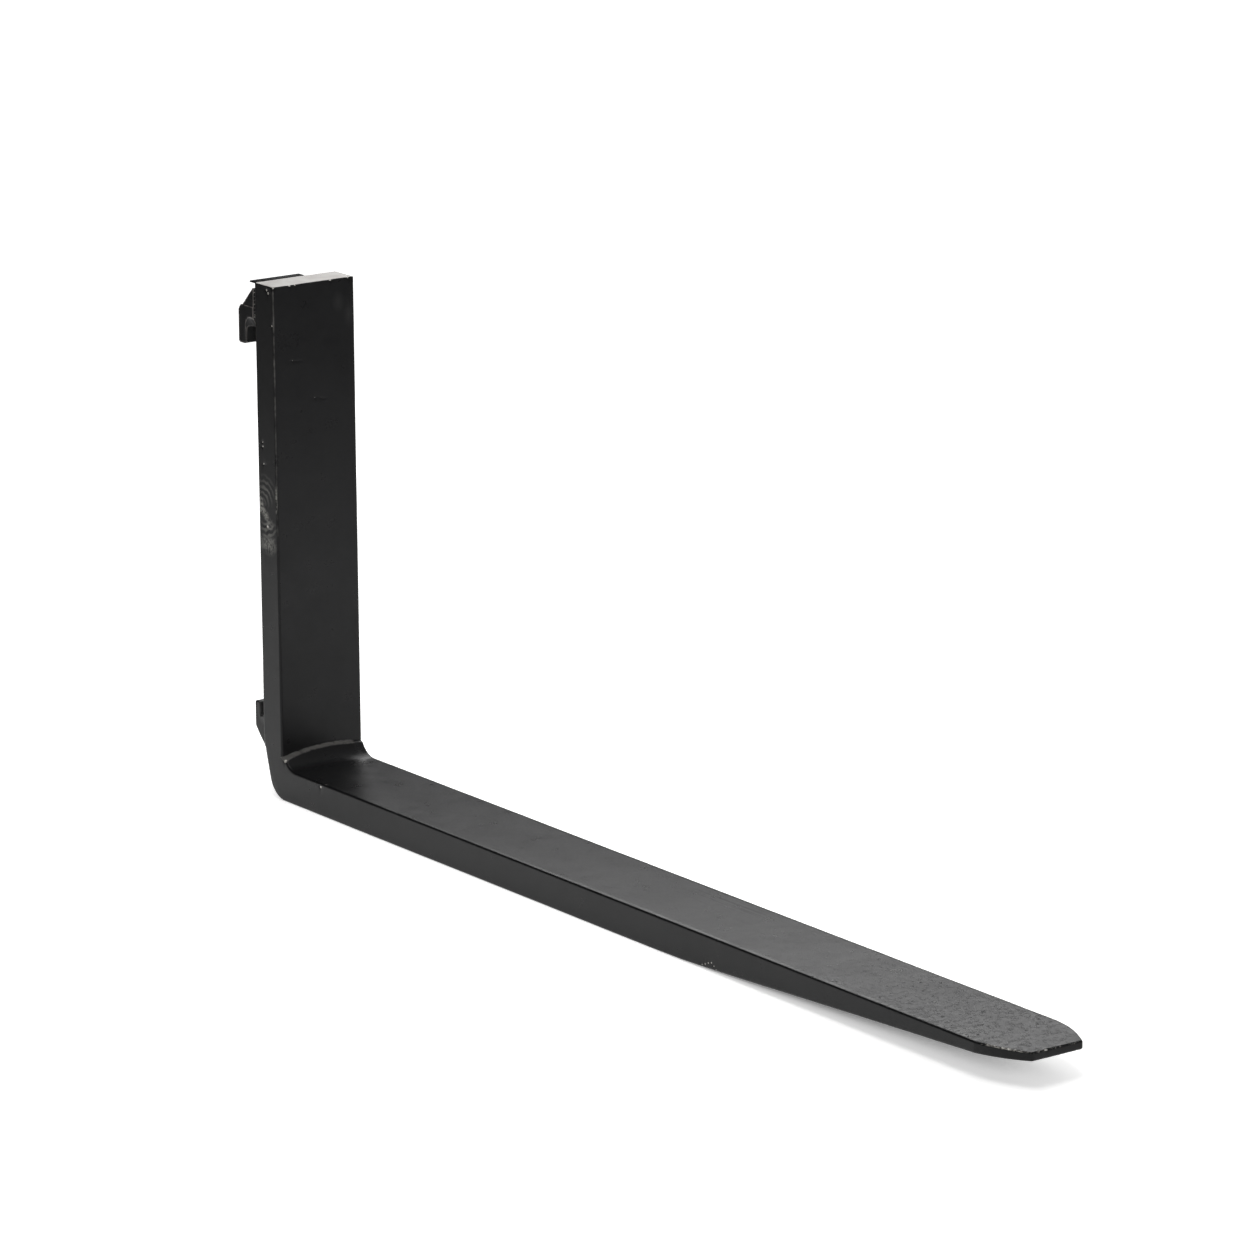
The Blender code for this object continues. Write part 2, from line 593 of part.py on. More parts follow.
def build():
    clear_scene()
    paint = finish("black_paint", (0.16, 0.16, 0.17), 0.45, 0)
    weld_paint = finish("painted_weld", (0.20, 0.20, 0.21), 0.5, 0)
    steel = finish("blackened_steel", (0.24, 0.24, 0.25), 0.4, 1)
    spring_steel = finish("spring_steel", (0.45, 0.45, 0.46), 0.3, 1)

    make_fork_arm(paint)
    make_upper_hook(paint)
    make_lower_hook(paint)
    for side, word in ((-1, "left"), (1, "right")):
        make_upper_side_weld(f"upper_hook_weld_{word}", side, weld_paint)
        make_lower_side_weld(f"lower_hook_weld_{word}", side, weld_paint)
    outer_end = UPPER_HALF - WELD_RUN_OUT
    make_upper_top_weld("upper_hook_weld_top_left", -outer_end,
                        -CHEEK_REACH - SLOT_CLEARANCE - WELD_RUN_OUT, weld_paint)
    make_upper_top_weld("upper_hook_weld_top_right",
                        CAM_REACH + SLOT_CLEARANCE + WELD_RUN_OUT, outer_end, weld_paint)
    make_lower_bottom_weld(weld_paint)
    pin = make_lock_pin(steel)
    make_lock_lever(pin, paint)
    make_roll_pin(pin, steel)
    make_lock_spring(spring_steel)


build()
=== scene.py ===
"""Looks of a hook-mounted fork arm: forged bar, hooks, weld seams and the lock of the upper hook.

Every piece is a finer copy of its solid in the frame, or is wound anew, and rides on the same body.
Metres, +Z up, in the frame's own axes: the blade lies along -Y and the width along X.
"""

import json
import math

import bmesh
import bpy
from bpy.props import FloatProperty, FloatVectorProperty, IntProperty, PointerProperty
from bpy.types import Operator, Panel, PropertyGroup
from mathutils import Matrix, Vector, noise
from mathutils.kdtree import KDTree


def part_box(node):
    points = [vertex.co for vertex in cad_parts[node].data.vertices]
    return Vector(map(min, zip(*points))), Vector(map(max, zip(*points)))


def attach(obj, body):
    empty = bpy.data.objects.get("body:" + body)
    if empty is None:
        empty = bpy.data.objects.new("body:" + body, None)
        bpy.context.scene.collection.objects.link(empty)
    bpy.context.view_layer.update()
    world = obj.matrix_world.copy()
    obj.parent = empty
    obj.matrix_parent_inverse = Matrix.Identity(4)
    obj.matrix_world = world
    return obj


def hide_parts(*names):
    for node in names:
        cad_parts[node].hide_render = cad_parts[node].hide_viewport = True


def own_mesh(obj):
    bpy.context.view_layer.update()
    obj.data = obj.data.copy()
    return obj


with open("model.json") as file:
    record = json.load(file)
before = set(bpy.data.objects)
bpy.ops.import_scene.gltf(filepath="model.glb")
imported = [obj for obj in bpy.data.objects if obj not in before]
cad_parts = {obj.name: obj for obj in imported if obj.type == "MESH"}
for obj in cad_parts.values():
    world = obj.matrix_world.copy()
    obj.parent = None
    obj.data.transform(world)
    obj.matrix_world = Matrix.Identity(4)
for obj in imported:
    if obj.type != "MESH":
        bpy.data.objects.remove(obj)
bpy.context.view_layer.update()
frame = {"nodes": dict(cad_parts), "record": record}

bl_info = {
    "name": "Fork arm finish",
    "version": (1, 0, 0),
    "blender": (4, 5, 0),
    "location": "3D View > Sidebar > Fork arm",
    "description": "Dresses the solids of a pallet fork arm and sets them in a pale studio",
    "category": "Object",
}

MM = 0.001
BAR_LOW, BAR_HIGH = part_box("fork_arm")
SPRING_LOW, SPRING_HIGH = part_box("lock_spring")
MOUNTS = {mount["name"]: Vector(mount["pos_m"]) for mount in frame["record"]["mounts"]}
BLADE_TOP_Z = MOUNTS["blade_top"].z
SHANK_BACK_Y = BAR_HIGH.y
SHANK_FRONT_Y = SHANK_BACK_Y - BLADE_TOP_Z

# A point this near to a face or an edge counts as on it
NEAR = 0.1 * MM
# An outward edge that turns by more than the first wears and takes a painted highlight, and one that turns by
# more than the second is sharp
WORN_TURN = math.radians(12)
SHARP_TURN = math.radians(40)

# Knocks on the bar's edges and faces: a place and a radius in millimetres, and how bare the steel is there
KNOCKS = [
    (-29.2, 567, 546, 2.6, 1), (-22.5, 567, 546, 2.2, 1), (20.5, 567, 546, 2.8, 1),
    (42.7, 567, 546, 2.4, 0.8), (-50, 567, 546, 4.2, 1), (-50, 570, 505.4, 2.0, 0.8),
    (-50, 579, 541.5, 2.6, 1), (-50, 576, 538.5, 2.4, 1), (-27.2, 567, 466.7, 1.1, 0.5),
    (-20.9, 567, 465.6, 1.3, 0.55), (-0.7, 567, 424.5, 1.1, 0.5), (8.6, 567, 422.1, 1.4, 0.55),
    (-50, 586.3, 290.5, 3.6, 1), (-50, 591, 356.5, 2.0, 0.8), (-50, 592, 374.8, 2.0, 0.8),
    (-50, 592, 379.6, 2.0, 0.8), (-50, 495, 31, 2.8, 0.8), (-47, 488, 35, 1.8, 0.7),
    # The knock at (-48.8, 562, 43.8) is bare steel put at the ledge's left end as a painted highlight
    (-48.8, 562, 43.8, 4.5, 0.75), (-50, -165, 4, 1.8, 0.7), (-50, -170, 6, 1.8, 0.7),
    (-50, -175, 8, 1.8, 0.7), (-50, -180, 9.5, 1.8, 0.7), (-50, -184, 7, 1.8, 0.7),
    (-50, -187, 4, 1.8, 0.7), (-40.6, -359.4, 35, 3.0, 0), (-13.6, -633, 35, 3.4, 1),
]
KNOCK_DEPTH = 0.25

# Soft spots of a finish: the middle, the half sizes, the tilt in degrees about X, and the strength
PATCH_SMEARS = [
    ((-50, 590, 304), (4, 20, 6), 37, 2.0), ((-50, 599, 313), (4, 7, 10), 0, 2.5),
    ((-50, 585, 272), (4, 18, 13), 0, 1.2), ((-50, 568.6, 321), (4, 1.4, 19), 0, 2.5),
]
PATCH_ARCS = [((-50, 587, 329), (4, 19, 20), 0, 0.5), ((-50, 584, 288), (4, 18, 14), 0, 0.7)]
PATCH_CENTRE = (0, 593, 316)
SMUDGES = [((30, 567, 522), (8, 4, 12), 0, 1.0), ((43, 567, 507), (7, 4, 14), 0, 1.0)]
STREAKS = [((24, -104, 35), (30, 110, 6), 0, 1.6)]
# A paler colour in the hooks' notches: painted light that stands for light reaching into them
NOTCH_PAINTED_LIGHT = [((0, 611, 488), (150, 15, 19), 0, 1.4), ((0, 611, 88), (150, 15, 19), 0, 2.2)]

WELDS = ["upper_hook_weld_left", "upper_hook_weld_right", "upper_hook_weld_top_left",
         "upper_hook_weld_top_right", "lower_hook_weld_left", "lower_hook_weld_right",
         "lower_hook_weld_bottom"]


def linear(hex_colour):
    """Turn an sRGB hex colour into linear red, green and blue."""
    channels = [int(hex_colour[place:place + 2], 16) / 255 for place in (1, 3, 5)]
    return [channel / 12.92 if channel < 0.04045 else ((channel + 0.055) / 1.055) ** 2.4
            for channel in channels]


def length(name, description, millimetres):
    return FloatProperty(name=name, description=description, default=millimetres * MM, unit="LENGTH",
                         precision=4)


def angle(name, description, degrees):
    return FloatProperty(name=name, description=description, default=math.radians(degrees), subtype="ANGLE")


def number(name, description, default, **limits):
    return FloatProperty(name=name, description=description, default=default, **limits)


def colour(name, description, hex_colour):
    return FloatVectorProperty(name=name, description=description, default=linear(hex_colour),
                               subtype="COLOR", min=0, max=1)


class ForkArmSizes(PropertyGroup):
    """Sizes of the fine forms that the solids leave out"""

    bar_grid: length("Bar grid", "Spacing of the cuts that let the bar's faces be uneven", 6)
    edge_band: length("Edge band", "Width of the band of cuts along the bar's edges", 2.6)
    # The shank's grey edges are partly rubbed paint and partly a painted highlight along them
    rub_and_painted_highlight_from: length("Rubbed from", "Height on the shank where its edges begin to be rubbed", 200)
    rub_and_painted_highlight_full: length("Rubbed full", "Height on the shank from which its edges are fully rubbed", 330)
    rub_and_painted_highlight_reach: length("Rubbed reach", "How far from the sharp corner the bar's edges are rubbed", 2)
    rub_and_painted_highlight_fade: length("Rubbed fade", "Width over which the rubbing of the bar's edges fades out", 1)
    rub_and_painted_highlight_share: number("Rubbed share", "How thin the paint is on the bar's edges", 0.55)
    heel_lean: angle("Heel lean", "Lean of the lower back of the heel", 15.8)
    heel_lean_solid: length("Lean height, solid", "Where the solid's back begins to lean", 65)
    heel_lean_height: length("Lean height", "Where the dressed bar's back begins to lean", 59)
    heel_radius_solid: length("Heel radius, solid", "Outer radius of the solid's heel", 43)
    heel_radius: length("Heel radius", "Outer radius of the dressed bar's heel", 27)
    heel_fillet: length("Heel fillet", "Radius of the inner heel", 25)
    tip_grid: length("Tip grid", "Spacing of the cuts on the scaled end of the blade", 2.5)
    scaled_length: length("Scaled length", "Length of blade, from the tip, that scale has pitted", 460)
    scaled_fade: length("Scaled fade", "Length over which the unevenness grows towards the tip", 276)
    pitted_length: length("Pitted length", "Length of blade, from the tip, that has all its pits", 115)
    corner_length: length("Corner length", "Length over which each tip corner is cut back", 58)
    chipped_length: length("Chipped length", "Length of tip whose edges are chipped", 62)
    chipped_fade: length("Chipped fade", "Length over which the chips grow towards the tip", 20)
    chipped_end: number("Chipped end", "How bare the tip's end is chipped", 0.33)
    chipped_corner: number("Chipped corner", "How bare the tip's cut-back corners are chipped", 0.55)
    ledge_height: length("Ledge height", "Height of the ledge on the inner heel, over the floor", 52.3)
    ledge_drop: length("Ledge drop", "How far the ledge falls towards the bar's sides", 5.4)
    ledge_middle: length("Ledge middle", "Where across the bar the ledge is highest", 6)
    ledge_end: length("Ledge end", "Where across the bar the ledge begins to fade out", 36)
    ledge_fade: length("Ledge fade", "Width over which the ledge fades out", 8)
    ledge_proud: length("Ledge proud", "How far the ledge stands out over the fillet", 1.2)
    ledge_step: length("Ledge step", "Height over which the ledge rises", 1.6)
    # The band along the ledge's edge is a painted highlight
    ledge_highlight_band: length("Ledge band", "Height of the rubbed band on each side of the ledge's edge", 3.6)
    ledge_tail: length("Ledge tail", "Height over which the ledge blends into the fillet below it", 18)
    ledge_grid: length("Ledge grid", "Spacing of the cuts across the ledge", 2)
    rim_from: length("Rim from", "Shank's front out to where the blade's worn rim begins to grow", 60)
    rim_growth: length("Rim growth", "Length of blade over which the rim grows towards the tip", 900)
    rim_start: length("Rim start", "Blade's side in to where its worn top rim starts", 4.7)
    rim_end: length("Rim end", "Blade's side in to where its rounded edge starts", 2)
    rim_drop: length("Rim drop", "How far the worn rim falls off near the tip", 0.42)
    hook_grid: length("Hook grid", "Spacing of the cuts that let the hooks' faces be uneven", 3)
    hook_side_grid: length("Hook side grid", "Spacing of the cuts on the hooks' side faces", 0.8)
    # The hooks' edge bands are rubbed paint and a painted highlight
    hook_rub_and_highlight_band: length("Hook band", "Width of the rubbed band along the hooks' edges", 1.4)
    hook_edge: length("Hook edge", "Rounding of the hooks' edges", 0.8)
    hook_turn: angle("Hook turn", "Turn from which the hooks' edges are rounded", 30)
    upper_hook_rub_and_highlight: number("Upper hook wear", "How rubbed the upper hook's edges are", 0.9)
    lower_hook_rub_and_highlight: number("Lower hook wear", "How rubbed the lower hook's edges are", 0.3)
    shoulder_height: length("Shoulder height", "Height of the upper hook's shoulder over the floor", 519.6)
    shoulder_shelf: length("Shoulder shelf", "Height over which the shoulder slopes outwards", 2.8)
    shoulder_step: length("Shoulder step", "Height over which the hook's sides step out", 0.4)
    shoulder_proud: length("Shoulder proud", "How far the hook's sides step out below the shoulder", 0.5)
    shoulder_out: length("Shoulder out", "How far the shoulder's edge stands out over the crown", 2.3)
    shoulder_back: length("Shoulder back", "How far the crown is set back just above the shoulder", 1.2)
    # The bare steel colour on the weld ripple tops is a painted glint
    weld_painted_glint_band: length("Weld band", "Width of the bare band along the tops of the weld ripples", 0.8)
    weld_painted_glint: number("Weld wear", "How bare the tops of the weld ripples are", 0.45)
    forging_wave: length("Forging wave", "Distance from one low of a forged face to the next", 70)
    forging_depth: length("Forging depth", "Height of the waves of a forged face", 0.35)
    scale_wave: length("Scale wave", "Distance between the lows of a scaled face", 14)
    scale_depth: length("Scale depth", "Height of the unevenness that scale leaves", 0.12)
    sheet_edge: length("Sheet edge", "Rounding of the lever's sheet edges", 0.35)
    pin_edge: length("Pin edge", "Rounding of the turned edges", 0.3)
    spring_wire: length("Spring wire", "Diameter of the spring's wire", 1.2)
    spring_turns: number("Spring turns", "Open turns between the closed end turns", 3.5, min=1)
    spring_sides: IntProperty(name="Spring sides", description="Sides of the spring's wire", default=12,
                              min=6)


class ForkArmColours(PropertyGroup):
    """Colours of the finishes"""

    paint: colour("Paint", "Satin black paint", "#111112")
    paint_faded: colour("Faded paint", "Paint where it is thin or dusty", "#1a1a1b")
    bare_steel: colour("Bare steel", "Steel where the paint is knocked off", "#c4c1bb")
    # The grey of the bar's edges is both thin rubbed paint and a painted highlight
    rubbed: colour("Rubbed edge", "Paint rubbed thin along the bar's edges", "#5a5957")
    # The hooks' grey edges are rubbed paint and a painted highlight
    rubbed_hook_and_highlight: colour("Rubbed hook edge", "Paint rubbed to grey along the hooks' edges", "#6b6765")
    # The paler colour in the notches is painted light, not dust
    notch_painted_light: colour("Notch dust", "Dust in the hooks' notches", "#444444")
    smudge: colour("Smudge", "Dull smudges on the shank's front", "#262626")
    sawn_steel: colour("Sawn steel", "The sawn top of the shank", "#8b8986")
    sawn_shadow: colour("Sawn steel, dull", "Duller patches of the sawn top", "#7f7b78")
    ground_patch: colour("Ground patch", "Thin paint over the ground patch", "#868580")
    blackened: colour("Blackened steel", "Turned steel of the locking pin", "#3a3a3c")
    wire: colour("Spring wire", "Drawn spring wire", "#8d8d90")
    floor: colour("Floor", "Plain pale floor", "#f4f4f3")


class ForkArmStage(PropertyGroup):
    """Places of the camera and the lights"""

    azimuth: angle("Azimuth", "Turn of the camera round the part", -35.98)
    elevation: angle("Elevation", "Height of the camera over the floor, as an angle", 14.35)
    roll: angle("Roll", "Turn of the camera about its own line of sight", -0.356)
    distance: length("Distance", "Camera to the point that it looks at", 6522)
    focal_length: number("Focal length", "Lens in millimetres on a 36 mm sensor", 179.07, min=1)
    aim: FloatVectorProperty(name="Aim", description="Point in the middle of the picture",
                             default=(268.1 * MM, 391.0 * MM, 173.8 * MM), subtype="XYZ", unit="LENGTH")
    floor_size: length("Floor size", "Side of the square floor", 40000)
    table_width: length("Table width", "Width of the floor that is lit from below, at the part", 2000)
    table_spread: number("Table spread", "Widening of each side of the lit floor for each metre back", 0.1)
    table_fade: length("Table fade", "Width over which the lit floor fades out", 750)
    table_shift: length("Table shift", "How far left of the picture's middle the lit floor lies", 150)
    table_glow: number("Table glow", "Brightness of the lit floor", 0.68)
    near_glow: number("Near glow", "Brightness of the lit floor round the tip", 0.62)
    near_start: length("Near start", "How far in front of the middle the lit floor starts to dim", 500)
    near_full: length("Near full", "How far in front of the middle the lit floor has its near glow", 900)
    side_glow: number("Side glow", "Brightness of the lit floor right of the part and in front of it", 1.35)
    side_start: length("Side start", "How far right of the middle the floor starts to grow brighter", 100)
    side_full: length("Side full", "How far right of the middle the floor reaches the side glow", 500)
    side_front: length("Side front", "How far in front of the middle the bright floor on the right ends", 750)
    side_fade: length("Side fade", "Depth over which the bright floor on the right fades out", 350)
    front_start: length("Front start", "How far in front of the part the floor grows brighter again", 1300)
    front_full: length("Front full", "How far in front of the part the floor reaches the side glow", 2000)
    back_glow: number("Back glow", "Brightness of the lit floor far behind the part", 1.1)
    back_start: length("Back start", "How far behind the part the floor starts to grow brighter", 300)
    back_full: length("Back full", "How far behind the part the floor is brightest", 1800)
    shade_reach: length("Shade reach", "How far from the part the lit floor is shaded by it", 150)
    shade_share: number("Shade share", "Share of open sky below which the lit floor is shaded", 0.15)
    softbox_height: length("Softbox height", "Floor up to the softbox", 2600)
    softbox_shift: length("Softbox shift", "Line of sight across to the softbox's middle", -200)
    softbox_front: length("Softbox front", "How far in front of the picture's middle the softbox hangs", 300)
    softbox_width: length("Softbox width", "Width of the softbox across the line of sight", 1200)
    softbox_length: length("Softbox length", "Length of the softbox along the line of sight", 3000)
    softbox_spread: angle("Softbox spread", "Angle that the softbox's grid lets light out at", 80)
    softbox_power: number("Softbox power", "Power of the softbox in watts", 12)
    panel_distance: length("Panel distance", "Picture's middle back to the upright light panel", 2200)
    panel_shift: length("Panel shift", "Line of sight across to the light panel's middle", 750)
    panel_foot: length("Panel foot", "Floor up to the light panel's lower edge", 1050)
    panel_width: length("Panel width", "Width of the light panel", 2700)
    panel_height: length("Panel height", "Height of the light panel", 2000)
    panel_power: number("Panel power", "Power of the light panel in watts", 61)
    surround: number("Surround", "Brightness of the dim side of the room", 0.03)
    bright_side: number("Bright side", "Brightness of the bright side of the room", 0.5)
    bright_start: number("Bright start", "Cosine from the bright side where the room brightens", 0.45)
    bright_full: number("Bright full", "Cosine from the bright side where the room is brightest", 0.95)
    bright_from: FloatVectorProperty(name="Bright from", default=(0.7, -0.45, 0.55), subtype="DIRECTION",
                                     description="Where the bright side of the room lies")


class Tree:
    """The node tree of a material, or of the room, that is being filled."""

    def __init__(self, name, kept_in="materials", shader="Principled BSDF", coordinates="Object"):
        self.owner = getattr(bpy.data, kept_in).new(name)
        self.owner.use_nodes = True
        self.tree = self.owner.node_tree
        self.shader = self.tree.nodes[shader]
        self.place = self.add("TexCoord").outputs[coordinates]

    def add(self, kind, sockets=None, **settings):
        """Add a node, set it up and link or fill its sockets."""
        made = self.tree.nodes.new("ShaderNode" + kind)
        for name, value in settings.items():
            setattr(made, name, value)
        self.feed(made, sockets or {})
        return made

    def feed(self, made, sockets):
        """Link or fill a node's sockets. A node given for one stands for its first output in use."""
        for name, value in sockets.items():
            if isinstance(value, bpy.types.Node):
                value = next(output for output in value.outputs if output.enabled)
            if isinstance(value, bpy.types.NodeSocket):
                self.tree.links.new(value, made.inputs[name])
            else:
                made.inputs[name].default_value = value

    def spots(self, places):
        """Add up soft-edged spots, each an ellipsoid that fades from its middle outwards."""
        total = 0.0
        for middle, reach, tilt, strength in places:
            spot = self.add("Mapping", {"Vector": self.place, "Location": Vector(middle) * MM,
                                        "Rotation": (math.radians(tilt), 0, 0),
                                        "Scale": Vector(reach) * MM}, vector_type="TEXTURE")
            spot = self.add("TexGradient", {"Vector": spot}, gradient_type="SPHERICAL")
            total = self.add("Math", {0: spot.outputs["Fac"], 1: strength, 2: total},
                             operation="MULTIPLY_ADD")
        return total


def wave_scale(spacing):
    """Find the scale at which a wave texture repeats at a spacing."""
    return math.tau / (20 * spacing)


def spray_paint(made, colours, rubbed, least_rough=0.26):
    """Satin black paint sprayed over forged steel, as a set of shader inputs.

    It is even and soft in its gloss, finely rippled like orange peel, rubbed grey along the edges, where
    the grey is also a painted highlight, and broken to bright steel at knocks.
    """
    add = made.add
    patches = add("TexNoise", {"Vector": made.place, "Scale": 1 / (90 * MM), "Detail": 4.0})
    dust = add("TexNoise", {"Vector": made.place, "Scale": 1 / (25 * MM), "Detail": 6.0, "Roughness": 0.65})
    gloss = add("MapRange", {"Value": dust, "From Min": 0.3, "From Max": 0.7,
                             "To Min": least_rough, "To Max": least_rough + 0.1})
    peel = add("TexNoise", {"Vector": made.place, "Scale": 1 / (2.5 * MM), "Detail": 2.0})
    bump = add("Bump", {"Height": peel, "Strength": 0.35, "Distance": 0.05 * MM})

    # The edge tint is rubbed paint and a painted highlight along the outward edges
    edge = add("Attribute", attribute_name="edge_wear_and_highlight")
    rub = add("TexNoise", {"Vector": made.place, "Scale": 1 / (9 * MM), "Detail": 3.0})
    rub = add("Math", {0: edge.outputs["Fac"], 1: rub}, operation="MULTIPLY")
    rub = add("MapRange", {"Value": rub, "From Min": 0.15, "From Max": 0.4})

    knock = add("Attribute", attribute_name="knock")
    chips = add("TexNoise", {"Vector": made.place, "Scale": 1 / (3 * MM), "Detail": 4.0, "Roughness": 0.7})
    chips = add("Math", {0: knock.outputs["Fac"], 1: chips}, operation="MULTIPLY")
    bare = add("MapRange", {"Value": chips, "From Min": 0.18, "From Max": 0.3})

    surface = (*colours.paint, 1)
    for share, over in ((patches, colours.paint_faded), (rub, rubbed), (bare, colours.bare_steel)):
        surface = add("Mix", {"Factor": share, "A": surface, "B": (*over, 1)}, data_type="RGBA")
    return {"Base Color": surface, "Roughness": gloss, "Normal": bump, "IOR": 1.25,
            "Metallic": add("Math", {0: bare, 1: 0.4}, operation="MULTIPLY")}


def painted_steel(name, colours, rubbed, least_rough=0.26, dusty=(), gloss=0.5):
    """The sprayed paint alone, for the hooks, welds and lever, with painted light in any hollows given."""
    made = Tree(name)
    coat = spray_paint(made, colours, rubbed, least_rough)
    # The spots given are painted light: a paler colour in the hollows
    if dusty:
        coat["Base Color"] = made.add("Mix", {"Factor": made.spots(dusty), "A": coat["Base Color"],
                                              "B": (*colours.notch_painted_light, 1)}, data_type="RGBA")
    made.feed(made.shader, {**coat, "Specular IOR Level": gloss})
    return made.owner


def bar_paint(sizes, colours):
    """The sprayed paint of the bar, with a ground patch, a few streaks, and pits and dust near the tip.

    The patch is thin paint over marks of a grinding disc, so it looks grey, smeared and matt. Streaks and
    pits only break the gloss.
    """
    made = Tree("satin_black_paint_on_forged_bar")
    add = made.add
    coat = spray_paint(made, colours, colours.rubbed)
    place = add("SeparateXYZ", {"Vector": made.place})

    from_centre = add("Mapping", {"Vector": made.place, "Location": Vector(PATCH_CENTRE) * -MM})
    arcs = add("TexWave", {"Vector": from_centre, "Scale": wave_scale(6.5 * MM), "Distortion": 4.0,
                           "Detail": 3.0, "Detail Scale": 2.5}, wave_type="RINGS", rings_direction="X")
    arcs = add("MapRange", {"Value": arcs.outputs["Fac"], "From Min": 0.3, "From Max": 0.9})
    arcs = add("Math", {0: made.spots(PATCH_ARCS), 1: arcs}, operation="MULTIPLY")
    smears = add("TexNoise", {"Vector": made.place, "Scale": 1 / (4 * MM), "Detail": 4.0, "Roughness": 0.65})
    smears = add("MapRange", {"Value": smears, "From Min": 0.38, "From Max": 0.62})
    smears = add("Math", {0: made.spots(PATCH_SMEARS), 1: smears}, operation="MULTIPLY")
    patch = add("Math", {0: arcs, 1: smears}, operation="ADD")

    near_tip = add("MapRange", {"Value": place.outputs["Y"], "From Min": BAR_LOW.y + sizes.scaled_length,
                                "From Max": BAR_LOW.y + sizes.pitted_length})
    specks = add("TexVoronoi", {"Vector": made.place, "Scale": 1 / (13 * MM)})
    small = add("MapRange", {"Value": specks, "From Min": 0.07, "From Max": 0.03})
    chance = add("SeparateXYZ", {"Vector": specks.outputs["Color"]})
    few = add("Math", {0: chance.outputs["X"], 1: 0.75}, operation="GREATER_THAN")
    dust = add("Math", {0: near_tip, 1: 0.6}, operation="MULTIPLY")
    for share in (small, few):
        dust = add("Math", {0: dust, 1: share}, operation="MULTIPLY")

    surface = coat["Base Color"]
    for share, over in ((patch, colours.ground_patch), (made.spots(SMUDGES), colours.smudge),
                        (dust, colours.bare_steel)):
        surface = add("Mix", {"Factor": share, "A": surface, "B": (*over, 1)}, data_type="RGBA")

    drawn = add("Mapping", {"Vector": made.place, "Scale": (1, 0.02, 1)})
    lines = add("TexNoise", {"Vector": drawn, "Scale": 1 / (3 * MM), "Detail": 1.0})
    lines = add("MapRange", {"Value": lines, "From Min": 0.54, "From Max": 0.7, "To Max": 0.12})
    gloss = add("Math", {0: lines, 1: made.spots(STREAKS), 2: coat["Roughness"]}, operation="MULTIPLY_ADD")

    rough = add("TexNoise", {"Vector": made.place, "Scale": 1 / (6 * MM), "Detail": 5.0, "Roughness": 0.7})
    rough = add("MapRange", {"Value": rough, "From Min": 0.52, "From Max": 0.72})
    pits = add("TexVoronoi", {"Vector": made.place, "Scale": 1 / (10 * MM)})
    deep = add("MapRange", {"Value": pits, "From Min": 0.18, "From Max": 0.06})
    chance = add("SeparateXYZ", {"Vector": pits.outputs["Color"]})
    few = add("Math", {0: chance.outputs["Y"], 1: 0.55}, operation="GREATER_THAN")
    deep = add("Math", {0: deep, 1: few}, operation="MULTIPLY")
    scale = add("Math", {0: rough, 1: 0.4, 2: deep}, operation="MULTIPLY_ADD")
    skin_start, skin_full = BLADE_TOP_Z - 2 * MM, BLADE_TOP_Z - 0.7 * MM
    on_top = add("MapRange", {"Value": place.outputs["Z"], "From Min": skin_start, "From Max": skin_full})
    for share in (on_top, near_tip):
        scale = add("Math", {0: scale, 1: share}, operation="MULTIPLY")
    bump = add("Bump", {"Height": scale, "Strength": 0.8, "Distance": 0.6 * MM, "Normal": coat["Normal"]},
               invert=True)
    made.feed(made.shader, {**coat, "Base Color": surface, "Roughness": gloss, "Normal": bump})
    return made.owner


def sawn_steel(colours):
    """Bare steel cut by a band saw: pale, with fine parallel marks and duller oily patches."""
    made = Tree("sawn_bare_steel")
    add = made.add
    marks = add("TexWave", {"Vector": made.place, "Scale": wave_scale(2.5 * MM), "Distortion": 0.6,
                            "Detail": 3.0}, bands_direction="Y")
    oily = add("TexNoise", {"Vector": made.place, "Scale": 1 / (22 * MM), "Detail": 5.0})
    dull = add("MapRange", {"Value": oily, "From Min": 0.45, "From Max": 0.65})
    tone = add("Mix", {"Factor": dull, "A": (*colours.sawn_steel, 1), "B": (*colours.sawn_shadow, 1)},
               data_type="RGBA")
    bump = add("Bump", {"Height": marks.outputs["Fac"], "Strength": 0.3, "Distance": 0.05 * MM})
    made.feed(made.shader, {"Base Color": tone, "Roughness": 0.42, "Metallic": 1.0, "Normal": bump})
    return made.owner


def turned_steel(colours):
    """Blackened steel off the lathe: dark, half bright, with fine rings round the axis."""
    made = Tree("blackened_turned_steel")
    add = made.add
    rings = add("TexWave", {"Vector": made.place, "Scale": wave_scale(0.8 * MM), "Distortion": 0.4},
                bands_direction="Z")
    rub = add("TexNoise", {"Vector": made.place, "Scale": 1 / (6 * MM), "Detail": 4.0})
    gloss = add("MapRange", {"Value": rub, "To Min": 0.28, "To Max": 0.5})
    bump = add("Bump", {"Height": rings.outputs["Fac"], "Strength": 0.25, "Distance": 0.03 * MM})
    made.feed(made.shader, {"Base Color": (*colours.blackened, 1), "Roughness": gloss, "Metallic": 1.0,
                            "Normal": bump})
    return made.owner


def drawn_wire(colours):
    """Drawn spring wire: bright grey steel with faint oily blotches."""
    made = Tree("drawn_spring_wire")
    blotch = made.add("TexNoise", {"Vector": made.place, "Scale": 1 / (2 * MM), "Detail": 3.0})
    gloss = made.add("MapRange", {"Value": blotch, "To Min": 0.22, "To Max": 0.42})
    made.feed(made.shader, {"Base Color": (*colours.wire, 1), "Roughness": gloss, "Metallic": 1.0})
    return made.owner


